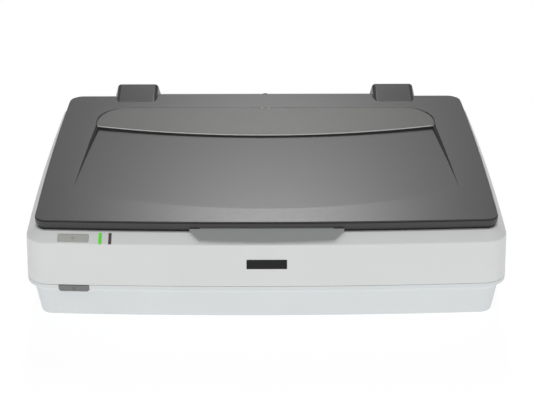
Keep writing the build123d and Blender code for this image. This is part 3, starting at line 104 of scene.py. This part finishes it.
# ---------------------------------------------------------------- shader graphs
class Graph:
    """A node tree with short ways to add nodes, feed them and do arithmetic."""

    def __init__(self, tree):
        self.tree = tree

    def feed(self, socket, value):
        if isinstance(value, bpy.types.NodeSocket):
            self.tree.links.new(value, socket)
        else:
            socket.default_value = value

    def add(self, kind, inputs=None, **settings):
        node = self.tree.nodes.new(kind)
        for key, value in settings.items():
            setattr(node, key, value)
        for key, value in (inputs or {}).items():
            self.feed(node.inputs[key], value)
        return node

    def math(self, operation, first, second=0.0):
        return self.add("ShaderNodeMath", {0: first, 1: second}, operation=operation).outputs[0]

    def spread(self, value, low, high):
        """Maps a 0 to 1 value on to low to high."""
        return self.add("ShaderNodeMapRange", {"Value": value, "To Min": low, "To Max": high}).outputs[0]

    def ramp(self, value, low, high):
        """0 below low, 1 above high, with a smooth rise between them."""
        inputs = {"Value": value, "From Min": low, "From Max": high}
        return self.add("ShaderNodeMapRange", inputs, interpolation_type="SMOOTHSTEP").outputs[0]

    def where(self, stretch=(1.0, 1.0, 1.0)):
        """The point in the piece's own space, stretched along its axes."""
        point = self.add("ShaderNodeTexCoord").outputs["Object"]
        return self.add("ShaderNodeMapping", {"Vector": point, "Scale": stretch}).outputs[0]

    def noise(self, size, detail=3.0, stretch=(1.0, 1.0, 1.0)):
        """Soft noise whose cells are about size metres across."""
        inputs = {"Vector": self.where(stretch), "Scale": 1 / size, "Detail": detail}
        return self.add("ShaderNodeTexNoise", inputs).outputs["Fac"]

    def mix(self, share, first, second, blend="MIX"):
        """Colour that goes from first to second as share goes from 0 to 1."""
        node = self.add("ShaderNodeMix", data_type="RGBA", blend_type=blend)
        for place, value in ((0, share), (6, first), (7, second)):
            self.feed(node.inputs[place], value)
        return node.outputs[2]

    def tint(self, colour, amount):
        """colour times amount, where amount may be a socket."""
        return self.mix(1.0, (*colour, 1.0), amount, "MULTIPLY")

    def bump(self, height, depth, strength=1.0, edge=0.0):
        """Normal with a bump of depth metres, over edges softened by edge metres."""
        inputs = {"Height": height, "Distance": depth, "Strength": strength}
        if edge:
            inputs["Normal"] = self.add("ShaderNodeBevel", {"Radius": edge}, samples=4).outputs[0]
        return self.add("ShaderNodeBump", inputs).outputs[0]


def new_material(name):
    """A node material, its graph and its main shader."""
    material = bpy.data.materials.new(name)
    material.use_nodes = True
    graph = Graph(material.node_tree)
    return material, graph, material.node_tree.nodes["Principled BSDF"]


def plastic(name, colour, rough, grain=0.5 * MM, depth=0.03 * MM, mottle=0.03, ior=1.5, wear_and_highlight=0.9):
    """Moulded plastic: fine spark texture, uneven shade and gloss, soft edges made pale, a little as rubbed
    wear and, where the pale share is set large, as a painted edge highlight.
    """
    material, graph, shader = new_material(name)
    cloud = graph.spread(graph.noise(70 * MM, 4.0), 1 - mottle, 1 + mottle)
    soft = graph.add("ShaderNodeBevel", {"Radius": WEAR_AND_HIGHLIGHT_EDGE}, samples=4).outputs[0]
    true = graph.add("ShaderNodeNewGeometry").outputs["Normal"]
    turn = graph.add("ShaderNodeVectorMath", {0: soft, 1: true}, operation="DOT_PRODUCT").outputs["Value"]
    # Edges turn pale: a little as rubbed wear, and with a large share as a painted edge highlight
    edge_wear_and_highlight = graph.math("MULTIPLY", graph.math("SUBTRACT", 1.0, turn), wear_and_highlight)
    body = graph.tint(colour, cloud)
    pale = tuple(min(1.0, channel * (1 + 0.3 * wear_and_highlight) + 0.01) for channel in colour)
    graph.feed(shader.inputs["Base Color"], graph.mix(edge_wear_and_highlight, body, (*pale, 1.0)))
    gloss = graph.spread(graph.noise(9 * MM, 3.0), rough - 0.035, rough + 0.035)
    graph.feed(shader.inputs["Roughness"], gloss)
    shader.inputs["IOR"].default_value = ior
    graph.feed(shader.inputs["Normal"], graph.bump(graph.noise(grain, 2.0), depth, 0.6, SOFT_EDGE))
    return material


def paint_lip_highlight(material, colour):
    """Paints a highlight on rounded edges that face up and forward, where they would catch the light. Works
    in the piece's own space.
    """
    graph = Graph(material.node_tree)
    paint = material.node_tree.nodes["Principled BSDF"].inputs["Base Color"]
    facing = graph.add("ShaderNodeSeparateXYZ", {0: graph.add("ShaderNodeTexCoord").outputs["Normal"]})
    ahead = graph.ramp(graph.math("MULTIPLY", facing.outputs["Y"], -1.0), 0.25, 0.55)
    upward = graph.ramp(facing.outputs["Z"], 0.15, 0.45)
    share = graph.math("MULTIPLY", ahead, upward)
    graph.feed(paint, graph.mix(share, paint.links[0].from_socket, (*colour, 1.0)))


def paint_shade_at_foot(material, low, high, least):
    """Paints shade on a piece's colour and reflection towards its foot, from height high in its own space
    down to low.
    """
    graph = Graph(material.node_tree)
    shader = material.node_tree.nodes["Principled BSDF"]
    height = graph.add("ShaderNodeSeparateXYZ", {0: graph.where()}).outputs["Z"]
    light = graph.spread(graph.ramp(height, low, high), least, 1.0)
    paint = shader.inputs["Base Color"]
    graph.feed(paint, graph.mix(1.0, paint.links[0].from_socket, light, "MULTIPLY"))
    graph.feed(shader.inputs["Specular IOR Level"], graph.math("MULTIPLY", light, 0.5))


def metal(name, colour, rough, brush=(1.0, 1.0, 1.0), depth=0.01 * MM):
    """Metal with rolling or turning marks that run along the axis least stretched by brush."""
    material, graph, shader = new_material(name)
    marks = graph.noise(2 * MM, 4.0, brush)
    graph.feed(shader.inputs["Base Color"], graph.tint(colour, graph.spread(marks, 0.88, 1.08)))
    graph.feed(shader.inputs["Roughness"], graph.spread(marks, rough - 0.07, rough + 0.09))
    shader.inputs["Metallic"].default_value = 1.0
    graph.feed(shader.inputs["Normal"], graph.bump(marks, depth, 0.4, 0.2 * MM))
    return material


def rubber(name, colour):
    """Soft matt rubber with a dusty bloom."""
    material, graph, shader = new_material(name)
    bloom = graph.spread(graph.noise(6 * MM, 5.0), 0.8, 1.7)
    graph.feed(shader.inputs["Base Color"], graph.tint(colour, bloom))
    graph.feed(shader.inputs["Roughness"], graph.spread(graph.noise(1.5 * MM), 0.72, 0.92))
    graph.feed(shader.inputs["Normal"], graph.bump(graph.noise(0.4 * MM), 0.03 * MM, 0.6, 0.3 * MM))
    return material


def circuit(name):
    """Green solder mask over copper tracks, with dots of solder."""
    material, graph, shader = new_material(name)
    tracks = graph.add(
        "ShaderNodeTexBrick",
        {
            "Vector": graph.where(),
            "Scale": 130.0,
            "Mortar Size": 0.03,
            "Color1": (0.008, 0.075, 0.026, 1),
            "Color2": (0.010, 0.100, 0.034, 1),
            "Mortar": (0.035, 0.210, 0.070, 1),
        },
    )
    cells = graph.add("ShaderNodeTexVoronoi", {"Vector": graph.where(), "Scale": 210.0}).outputs["Distance"]
    solder = graph.math("LESS_THAN", cells, 0.16)
    paint = graph.mix(solder, tracks.outputs["Color"], (0.55, 0.54, 0.50, 1))
    graph.feed(shader.inputs["Base Color"], paint)
    graph.feed(shader.inputs["Metallic"], solder)
    shader.inputs["Roughness"].default_value = 0.34
    graph.feed(shader.inputs["Normal"], graph.bump(tracks.outputs["Fac"], 0.05 * MM, 0.7))
    return material


def float_glass(name):
    """Flat glass: it shows what lies behind it and mirrors more at a slant. A trace of dust dulls it."""
    material, graph, _ = new_material(name)
    slant = graph.add("ShaderNodeFresnel", {"IOR": 1.5}).outputs[0]
    rough = graph.spread(graph.noise(30 * MM, 5.0), 0.01, 0.05)
    clear = graph.add("ShaderNodeBsdfTransparent", {"Color": (0.86, 0.93, 0.90, 1)}).outputs[0]
    shine = graph.add("ShaderNodeBsdfGlossy", {"Color": (1, 1, 1, 1), "Roughness": rough}).outputs[0]
    both = graph.add("ShaderNodeMixShader", {0: slant, 1: clear, 2: shine}).outputs[0]
    graph.feed(graph.tree.nodes["Material Output"].inputs["Surface"], both)
    return material


def mirror_coat(name):
    """Front-silvered strip with faint haze."""
    material, graph, shader = new_material(name)
    haze = graph.spread(graph.noise(15 * MM), 0.95, 1.0)
    graph.feed(shader.inputs["Base Color"], graph.tint((0.92, 0.93, 0.95), haze))
    shader.inputs["Metallic"].default_value = 1.0
    graph.feed(shader.inputs["Roughness"], graph.spread(graph.noise(20 * MM, 5.0), 0.02, 0.06))
    return material


def light_pipe(name, colour, glow):
    """Clear coloured bar with a slightly uneven glow."""
    material, graph, shader = new_material(name)
    ripple = graph.spread(graph.noise(3 * MM), 0.9, 1.1)
    graph.feed(shader.inputs["Base Color"], graph.tint(colour, ripple))
    shader.inputs["Roughness"].default_value = 0.22
    shader.inputs["Emission Color"].default_value = (*colour, 1)
    graph.feed(shader.inputs["Emission Strength"], graph.math("MULTIPLY", ripple, glow))
    return material


def foam(name, colour, cell, depth):
    """Closed foam or the film on it: fine cells under a smooth sheen."""
    material, graph, shader = new_material(name)
    texture = graph.add("ShaderNodeTexVoronoi", {"Vector": graph.where(), "Scale": 1 / cell})
    cells = texture.outputs["Distance"]
    shade = graph.spread(graph.noise(40 * MM, 4.0), 0.97, 1.02)
    graph.feed(shader.inputs["Base Color"], graph.tint(colour, shade))
    graph.feed(shader.inputs["Roughness"], graph.spread(cells, 0.42, 0.6))
    graph.feed(shader.inputs["Normal"], graph.bump(cells, depth, 0.5))
    return material


def flat_cable(name):
    """White flat cable with grey conductors side by side across its width."""
    material, graph, shader = new_material(name)
    across = graph.add("ShaderNodeSeparateXYZ", {0: graph.where()}).outputs["Y"]
    wave = graph.math("SINE", graph.math("MULTIPLY", across, 2 * pi / WIRE_PITCH))
    wire = graph.spread(wave, 0.0, 1.0)
    graph.feed(shader.inputs["Base Color"], graph.mix(wire, (0.72, 0.72, 0.70, 1), (0.45, 0.45, 0.46, 1)))
    shader.inputs["Roughness"].default_value = 0.35
    graph.feed(shader.inputs["Normal"], graph.bump(wire, 0.1 * MM, 0.6))
    return material


FINISH = {
    "case": plastic("case_plastic", (0.755, 0.770, 0.762), 0.46),
    "tub": plastic("tub_plastic", (0.735, 0.765, 0.775), 0.50),
    # The lid and the brow take a large pale-edge share: a painted highlight along their edges
    "lid": plastic("lid_plastic", (0.034, 0.034, 0.035), 0.23, depth=0.004 * MM, mottle=0.02, wear_and_highlight=9.0),
    "brow": plastic("brow_plastic", (0.048, 0.046, 0.041), 0.36, depth=0.006 * MM, mottle=0.02, wear_and_highlight=9.0),
    "charcoal": plastic("charcoal_plastic", (0.044, 0.041, 0.041), 0.42, depth=0.015 * MM),
    "handle": plastic("handle_plastic", (0.290, 0.300, 0.297), 0.36),
    "button": plastic("button_plastic", (0.450, 0.455, 0.428), 0.30, grain=0.3 * MM),
    "power": plastic("power_plastic", (0.190, 0.195, 0.190), 0.34, grain=0.3 * MM),
    # Pale paint on the brow's pips: painted highlights
    "highlight_pip": plastic("highlight_pip_plastic", (0.80, 0.80, 0.78), 0.30, grain=0.2 * MM),
    "icon": plastic("icon_paint", (0.085, 0.088, 0.086), 0.45, grain=0.2 * MM),
    "print": plastic("scale_ink", (0.10, 0.105, 0.11), 0.6, grain=0.2 * MM),
    "plate": plastic("plate_satin", (0.012, 0.011, 0.012), 0.25, grain=0.3 * MM, ior=1.3),
    "black": plastic("black_plastic", (0.018, 0.018, 0.019), 0.48),
    "socket": plastic("socket_plastic", (0.012, 0.012, 0.012), 0.30),
    "acetal": plastic("acetal", (0.74, 0.72, 0.64), 0.38),
    "lamp": plastic("light_guide", (0.86, 0.88, 0.90), 0.16),
    "white": plastic("matt_white", (0.84, 0.84, 0.82), 0.75),
    "tape": plastic("black_tape", (0.016, 0.016, 0.016), 0.62),
    "rubber": rubber("foot_rubber", (0.022, 0.022, 0.022)),
    "belt": rubber("belt_rubber", (0.016, 0.016, 0.016)),
    "steel": metal("plated_steel", (0.62, 0.62, 0.64), 0.30),
    "rolled": metal("rolled_steel", (0.58, 0.58, 0.60), 0.34, (0.05, 1.0, 1.0)),
    "rod": metal("ground_rod", (0.74, 0.74, 0.76), 0.14, (1.0, 0.1, 0.1)),
    "motor": metal("motor_can", (0.52, 0.52, 0.53), 0.32, (1.0, 1.0, 0.1)),
    "alloy": metal("anodised_alloy", (0.20, 0.20, 0.21), 0.42),
    "bronze": metal("sintered_bronze", (0.50, 0.34, 0.17), 0.45, depth=0.03 * MM),
    "circuit": circuit("circuit_board"),
    "glass": float_glass("float_glass"),
    "mirror": mirror_coat("silvered_glass"),
    "ready": light_pipe("ready_light", (0.065, 0.480, 0.006), 0.52),
    "error": light_pipe("error_light", (0.070, 0.044, 0.043), 0.0),
    "film": foam("mat_film", (0.86, 0.86, 0.85), 1.2 * MM, 0.02 * MM),
    "foam": foam("mat_foam", (0.70, 0.70, 0.69), 0.9 * MM, 0.12 * MM),
    "cable": flat_cable("flat_cable"),
}

NODE_FINISH = {
    "case": ["upper_case"],
    "tub": ["lower_case"],
    "lid": ["lid_top_shell"],
    "brow": ["lid_brow"],
    "charcoal": ["lid_frame"],
    "handle": ["lid_handle"],
    "button": ["start_button"],
    "power": ["power_button"],
    "plate": ["badge_plate"],
    "black": [
        "transport_lock", "rod_clamps", "carriage_housing", "carriage_cover",
        "belt_clamp", "hinge_guides", "hinge_posts",
    ],
    "socket": ["option_socket", "ac_inlet", "home_sensor", "image_sensor"],
    "acetal": ["drive_gear", "rail_slider"],
    "lamp": ["lamp_bars"],
    "white": ["calibration_strip"],
    "tape": ["glass_tape"],
    "rubber": ["rubber_feet", "lid_bumpers"],
    "belt": ["drive_belt"],
    "steel": ["case_screws", "base_screws", "bracket_screws", "usb_port", "motor_rotor", "idler_pulley"],
    "rolled": [
        "glass_clips", "front_rail", "motor_bracket", "idler_bracket",
        "belt_spring", "hinge_brackets", "lock_catch",
    ],
    "rod": ["guide_rod", "hinge_pins"],
    "motor": ["drive_motor"],
    "alloy": ["lens_mount", "lens_barrel"],
    "bronze": ["motor_pinion", "rod_bushes"],
    "circuit": ["control_board", "switch_board", "main_board", "power_supply", "sensor_board"],
    "glass": ["platen_glass", "lens_glass"],
    "mirror": ["fold_mirrors"],
    "ready": ["ready_light_pipe"],
    "error": ["error_light_pipe"],
    "film": ["document_mat"],
    "cable": ["ribbon_cable"],
}

for finish, nodes in NODE_FINISH.items():
    for node in nodes:
        slots = frame["nodes"][node].data.materials
        slots.clear()
        slots.append(FINISH[finish])

frame_foot = min(vertex.co.z for vertex in frame["nodes"]["lid_frame"].data.vertices)
# Painted shade on the lid frame's lower rim, darkest at its foot
paint_shade_at_foot(FINISH["charcoal"], frame_foot + 0.8 * MM, frame_foot + 4.2 * MM, 0.25)
# Painted highlight along the brow's lip, in pale grey
paint_lip_highlight(FINISH["brow"], (0.80, 0.80, 0.80))


# ---------------------------------------------------------------- mesh helpers
def new_piece(name, mesh_builder, finish, body, smooth=35):
    """Turns a bmesh into an object that rides on a body, shaded smooth up to an angle."""
    mesh = bpy.data.meshes.new(name)
    bmesh.ops.recalc_face_normals(mesh_builder, faces=mesh_builder.faces)
    mesh_builder.to_mesh(mesh)
    mesh_builder.free()
    piece = bpy.data.objects.new(name, mesh)
    SCENE.collection.objects.link(piece)
    mesh.materials.append(FINISH[finish])
    for polygon in mesh.polygons:
        polygon.use_smooth = True
    mesh.set_sharp_from_angle(angle=radians(smooth))
    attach(piece, body)
    return piece


def stack_loops(builder, loops):
    """Joins closed loops of equal length into a skin, and closes both ends."""
    rings = [[builder.verts.new(point) for point in loop] for loop in loops]
    count = len(rings[0])
    for lower, upper in zip(rings, rings[1:]):
        for i in range(count):
            j = (i + 1) % count
            builder.faces.new((lower[i], lower[j], upper[j], upper[i]))
    builder.faces.new(list(reversed(rings[0])))
    builder.faces.new(rings[-1])


def rounded_rectangle(centre, size, radius, z, steps=8):
    """Corner points of a flat rounded rectangle at height z."""
    points = []
    for turn, (sx, sy) in enumerate(((1, 1), (-1, 1), (-1, -1), (1, -1))):
        x = centre[0] + sx * (size[0] / 2 - radius)
        y = centre[1] + sy * (size[1] / 2 - radius)
        for step in range(steps + 1):
            angle = turn * pi / 2 + step * pi / 2 / steps
            points.append((x + radius * cos(angle), y + radius * sin(angle), z))
    return points


def lathe(builder, spot, profile, steps=40):
    """Turns a profile of (radius, height) points about the upright axis through spot."""
    angles = [2 * pi * i / steps for i in range(steps)]
    loops = []
    for radius, height in profile:
        loop = [(spot[0] + radius * cos(angle), spot[1] + radius * sin(angle), height) for angle in angles]
        loops.append(loop)
    stack_loops(builder, loops)


# ---------------------------------------------------------------- document mat
def document_mat():
    """White film over a foam pad, stuck under the lid's pan."""
    low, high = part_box("document_mat")
    centre = (low + high) / 2
    size = high - low
    foam_base = low.z + FILM_T

    def skin(name, finish, levels):
        """A slab from (inset, height) levels."""
        builder = bmesh.new()
        loops = []
        for inset, z in levels:
            inner = (size.x - 2 * inset, size.y - 2 * inset)
            loops.append(rounded_rectangle(centre, inner, MAT_CORNER_R - inset * 0.1, z))
        stack_loops(builder, loops)
        return new_piece(name, builder, finish, "lid")

    pad = [
        (1.4 * MM, high.z),
        (0.7 * MM, high.z - 0.5 * MM),
        (0.5 * MM, high.z - 1.6 * MM),
        (0.8 * MM, foam_base + 1.0 * MM),
        (1.0 * MM, foam_base),
    ]
    sheet = [
        (0.0, foam_base + 0.25 * MM),
        (0.0, low.z + 0.3 * MM),
        (0.4 * MM, low.z + 0.1 * MM),
        (1.4 * MM, low.z),
    ]
    skin("mat_foam_pad", "foam", pad)
    sheet_film = skin("mat_film_sheet", "film", sheet)
    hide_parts("document_mat")


document_mat()


# ---------------------------------------------------------------- feet and bumpers
def rubber_feet():
    """Round feet with a soft rim and a shallow dish under each."""
    low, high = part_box("rubber_feet")
    builder = bmesh.new()
    profile = [
        (0.2 * MM, high.z - 0.02 * MM),
        (FOOT_R - 0.2 * MM, high.z - 0.02 * MM),
        (FOOT_R, high.z - 0.6 * MM),
        (FOOT_R, low.z + 1.3 * MM),
        (FOOT_R - 0.35 * MM, low.z + 0.45 * MM),
        (FOOT_R - 1.1 * MM, low.z + 0.05 * MM),
        (FOOT_R - 2.0 * MM, low.z),
        (FOOT_R - 4.0 * MM, low.z),
        (FOOT_R - 4.6 * MM, low.z + 0.6 * MM),
        (0.2 * MM, low.z + 0.8 * MM),
    ]
    for x in (low.x + FOOT_R, high.x - FOOT_R):
        for y in (low.y + FOOT_R, high.y - FOOT_R):
            lathe(builder, (x, y), profile)
    piece = new_piece("foot_pads", builder, "rubber", "base")
    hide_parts("rubber_feet")


def lid_bumpers():
    """Small domed bumpers under the lid's corners."""
    low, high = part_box("lid_bumpers")
    builder = bmesh.new()
    profile = [
        (0.2 * MM, high.z),
        (BUMPER_R, high.z),
        (BUMPER_R, high.z - 0.7 * MM),
        (BUMPER_R - 0.5 * MM, low.z + 0.55 * MM),
        (BUMPER_R - 1.6 * MM, low.z + 0.15 * MM),
        (BUMPER_R - 3.4 * MM, low.z + 0.02 * MM),
        (0.2 * MM, low.z),
    ]
    for x in (low.x + BUMPER_R, high.x - BUMPER_R):
        for y in (low.y + BUMPER_R, high.y - BUMPER_R):
            lathe(builder, (x, y), profile, BUMPER_STEPS)
    piece = new_piece("bumper_domes", builder, "rubber", "lid")
    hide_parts("lid_bumpers")


rubber_feet()
lid_bumpers()


# ---------------------------------------------------------------- signs on the buttons
def button_sign(name, node, joint_name, body, strokes):
    """Strokes printed proud of a button's face. Each is a four-cornered outline, across and up."""
    joint = next(j for j in frame["joints"] if j["name"] == joint_name)
    outward = -Vector(joint["axis"]).normalized()
    upright = Vector((0, 0, 1))
    up = (upright - outward * upright.dot(outward)).normalized()
    right = outward.cross(up) * -1
    low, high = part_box(node)
    middle = (low + high) / 2
    key = frame["nodes"][node]
    face = max((key.matrix_world @ vertex.co).dot(outward) for vertex in key.data.vertices)
    centre = middle + outward * (face - middle.dot(outward))
    builder = bmesh.new()
    for outline in strokes:
        loops = []
        for depth in (-INK_PROUD, INK_PROUD):
            loops.append([centre + right * u + up * v + outward * depth for u, v in outline])
        stack_loops(builder, loops)
    bmesh.ops.remove_doubles(builder, verts=builder.verts, dist=0.001 * MM)
    new_piece(name, builder, "icon", body)


def ring_strokes(radius, half_line, first, last, steps):
    """Part of a ring from angle first to angle last, in short straight strokes."""
    angles = [first + (last - first) * i / steps for i in range(steps + 1)]
    outer = radius + half_line
    inner = radius - half_line
    strokes = []
    for start, end in zip(angles, angles[1:]):
        corners = ((start, outer), (end, outer), (end, inner), (start, inner))
        strokes.append([(reach * cos(angle), reach * sin(angle)) for angle, reach in corners])
    return strokes


def power_sign():
    """A plain stand-by sign: an open ring and a bar."""
    radius = 2.1 * MM
    half_line = 0.28 * MM
    gap = radians(38)
    strokes = ring_strokes(radius, half_line, pi / 2 + gap, 5 * pi / 2 - gap, 28)
    foot = 0.3 * MM
    top = radius * 1.25
    strokes.append([(-half_line, foot), (half_line, foot), (half_line, top), (-half_line, top)])
    button_sign("power_icon", "power_button", "power_press", "power_key", strokes)


def start_sign():
    """A plain diamond."""
    strokes = ring_strokes(1.9 * MM, 0.22 * MM, 0.0, 2 * pi, 4)
    button_sign("start_icon", "start_button", "start_press", "start_key", strokes)


power_sign()
start_sign()


# ---------------------------------------------------------------- platen scale
def platen_scale():
    """Ticks along two edges of the bed, every fifth one longer, and an arrow at their corner."""
    low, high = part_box("document_mat")
    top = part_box("upper_case")[1].z
    left = low.x - SCALE_GAP
    rear = high.y + SCALE_GAP
    builder = bmesh.new()

    def stamp(outline):
        """Prints a flat outline on the bed."""
        stack_loops(builder, [[(x, y, z) for x, y in outline] for z in (top - SCALE_INK, top + SCALE_INK)])

    def tick(step):
        return SHORT_TICK if step % LONG_EVERY else LONG_TICK

    for step in range(int((high.x - low.x) / SCALE_STEP) + 1):
        x0 = low.x + step * SCALE_STEP - TICK_HALF
        x1 = x0 + 2 * TICK_HALF
        stamp([(x0, rear), (x1, rear), (x1, rear + tick(step)), (x0, rear + tick(step))])
    for step in range(int((high.y - low.y) / SCALE_STEP) + 1):
        y0 = high.y - step * SCALE_STEP - TICK_HALF
        y1 = y0 + 2 * TICK_HALF
        stamp([(left - tick(step), y0), (left, y0), (left, y1), (left - tick(step), y1)])
    near = 0.3 * ARROW
    far = 0.9 * ARROW
    stamp([(left, rear), (left - far, rear + near), (left - near, rear + far)])
    new_piece("platen_scale", builder, "print", "base")


platen_scale()


# ---------------------------------------------------------------- small lid details
def brow_highlight_pips():
    """Two pips at the brow's crease, either side of the middle, painted pale as two small highlights."""
    _, brow_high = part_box("lid_brow")
    brow = frame["nodes"]["lid_brow"]
    corners = [brow.matrix_world @ vertex.co for vertex in brow.data.vertices]
    top = max(corner.z for corner in corners if corner.y > brow_high.y - 3 * MM)
    profile = [
        (PIP_R, top - 1.0 * MM),
        (PIP_R, top + 0.15 * MM),
        (PIP_R * 0.85, top + 0.4 * MM),
        (PIP_R * 0.3, top + 0.52 * MM),
    ]
    builder = bmesh.new()
    for x in (-PIP_X, PIP_X):
        lathe(builder, (x, brow_high.y - 0.4 * MM), profile, 20)
    new_piece("brow_highlight_pips", builder, "highlight_pip", "lid")


def rear_tab():
    """Half-round finger tab behind the middle of the lid's rear edge."""
    steps = 24
    loops = []
    # Levels from the foot up, as the outline's inset and the depth below the top
    for inset, drop in ((0.4, 3.4), (0.0, 3.0), (0.0, 0.7), (0.2, 0.25), (0.7, 0.0)):
        wide = TAB_HALF - inset * MM
        deep = TAB_REACH - inset * MM
        z = TAB_TOP - drop * MM
        loop = [(-wide, TAB_Y - TAB_ROOT, z), (wide, TAB_Y - TAB_ROOT, z)]
        for step in range(steps + 1):
            angle = pi * step / steps
            loop.append((wide * cos(angle), TAB_Y + deep * sin(angle), z))
        loops.append(loop)
    builder = bmesh.new()
    stack_loops(builder, loops)
    new_piece("rear_tab", builder, "lid", "lid", 50)


brow_highlight_pips()
rear_tab()


# ---------------------------------------------------------------- toothed belt
def toothed_belt():
    """Closed belt with evenly spaced teeth on its inner side."""
    low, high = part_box("drive_belt")
    outer = (high.y - low.y) / 2
    left = low.x + outer
    right = high.x - outer
    middle = (low.y + high.y) / 2
    bend_r = outer - BELT_BACK
    straight = right - left
    length = 2 * straight + 2 * pi * bend_r
    per_tooth = 4
    total = int(length / BELT_PITCH) * per_tooth

    def station(distance, offset):
        """Point on the loop at a distance along it, moved inwards by offset."""
        reach = outer - offset
        distance %= length
        if distance < straight:
            return (left + distance, middle - reach)
        distance -= straight
        if distance < pi * bend_r:
            angle = -pi / 2 + distance / bend_r
            return (right + reach * cos(angle), middle + reach * sin(angle))
        distance -= pi * bend_r
        if distance < straight:
            return (right - distance, middle + reach)
        angle = pi / 2 + (distance - straight) / bend_r
        return (left + reach * cos(angle), middle + reach * sin(angle))

    builder = bmesh.new()
    rings = []
    for i in range(total):
        distance = length * i / total
        depth = BELT_BACK + (BELT_TOOTH if i % per_tooth in (1, 2) else 0.0)
        outside = station(distance, 0.0)
        inside = station(distance, depth)
        corners = ((*outside, low.z), (*outside, high.z), (*inside, high.z), (*inside, low.z))
        rings.append([builder.verts.new(corner) for corner in corners])
    for i in range(total):
        this, following = rings[i], rings[(i + 1) % total]
        for k in range(4):
            j = (k + 1) % 4
            builder.faces.new((this[k], this[j], following[j], following[k]))
    piece = new_piece("toothed_belt", builder, "belt", "base", 25)
    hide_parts("drive_belt")


toothed_belt()


# ---------------------------------------------------------------- studio
def studio_floor():
    """Wide pale floor that shows only a soft shadow under the object."""
    material, graph, _ = new_material("studio_floor")
    shade = graph.spread(graph.noise(0.9, 3.0), 0.985, 1.0)
    paint = graph.tint((0.92, 0.92, 0.92), shade)
    diffuse = graph.add("ShaderNodeBsdfDiffuse", {"Color": paint}).outputs[0]
    glow = graph.add("ShaderNodeEmission", {"Color": (1, 1, 1, 1), "Strength": FLOOR_GLOW}).outputs[0]
    both = graph.add("ShaderNodeMixShader", {0: FLOOR_GLOW_SHARE, 1: diffuse, 2: glow}).outputs[0]
    graph.feed(graph.tree.nodes["Material Output"].inputs["Surface"], both)
    builder = bmesh.new()
    corners = [(x * FLOOR_REACH, y * FLOOR_REACH, 0) for x, y in ((-1, -1), (1, -1), (1, 1), (-1, 1))]
    builder.faces.new([builder.verts.new(corner) for corner in corners])
    mesh = bpy.data.meshes.new("studio_floor")
    builder.to_mesh(mesh)
    builder.free()
    mesh.materials.append(material)
    floor = bpy.data.objects.new("studio_floor", mesh)
    SCENE.collection.objects.link(floor)


def studio_sky():
    """Soft light from all round, weaker at the sides, with a soft panel behind that the lid mirrors."""
    world = bpy.data.worlds.new("studio_sky")
    world.use_nodes = True
    SCENE.world = world
    graph = Graph(world.node_tree)
    direction = graph.add("ShaderNodeTexCoord").outputs["Generated"]
    axes = graph.add("ShaderNodeSeparateXYZ", {0: direction})
    azimuth = graph.math("ARCTAN2", axes.outputs["X"], axes.outputs["Y"])
    elevation = graph.math("ARCSINE", axes.outputs["Z"])

    def soft_panel():
        """Light that fades from the panel's middle."""
        square = 0.0
        for angle, middle, spread in zip((azimuth, elevation), PANEL_AT, PANEL_SPREAD):
            offset = graph.math("SUBTRACT", angle, radians(middle))
            share = graph.math("POWER", graph.math("DIVIDE", offset, radians(spread)), 2.0)
            square = graph.math("ADD", square, share)
        fade = graph.math("EXPONENT", graph.math("MULTIPLY", square, -1.0))
        return graph.math("MULTIPLY", fade, PANEL_LIGHT)

    def towards(direction, strength):
        """Light that grows towards one direction, given as a signed distance along it."""
        square = graph.math("POWER", graph.math("MAXIMUM", direction, 0.0), 2.0)
        return graph.math("MULTIPLY", square, strength)

    front = towards(graph.math("MULTIPLY", axes.outputs["Y"], -1.0), FRONT_EXTRA)
    rear = towards(axes.outputs["Y"], REAR_LOSS)
    sides = graph.math("MULTIPLY", graph.math("POWER", axes.outputs["X"], 2.0), SIDE_LOSS)
    losses = graph.math("ADD", sides, rear)
    even = graph.math("MAXIMUM", graph.math("ADD", EVEN_LIGHT, losses), 0.0)
    light = graph.math("ADD", graph.math("ADD", even, soft_panel()), front)
    background = world.node_tree.nodes["Background"]
    seen = graph.add("ShaderNodeLightPath").outputs["Is Camera Ray"]
    graph.feed(background.inputs["Strength"], graph.spread(seen, light, 1.0))
    background.inputs["Color"].default_value = (1, 1, 1, 1)


def studio_camera():
    """Long lens, straight on and looking down on the scanner."""
    camera = bpy.data.cameras.new("photo_camera")
    camera.sensor_width = SENSOR_MM
    camera.lens = LENS_MM
    camera.clip_end = 60.0
    eye = bpy.data.objects.new("photo_camera", camera)
    SCENE.collection.objects.link(eye)
    eye.location = EYE
    eye.rotation_euler = (pi / 2 - LOOK_DOWN, 0.0, -LOOK_RIGHT)
    SCENE.camera = eye


studio_floor()
studio_sky()
studio_camera()
SCENE.view_settings.view_transform = "Standard"
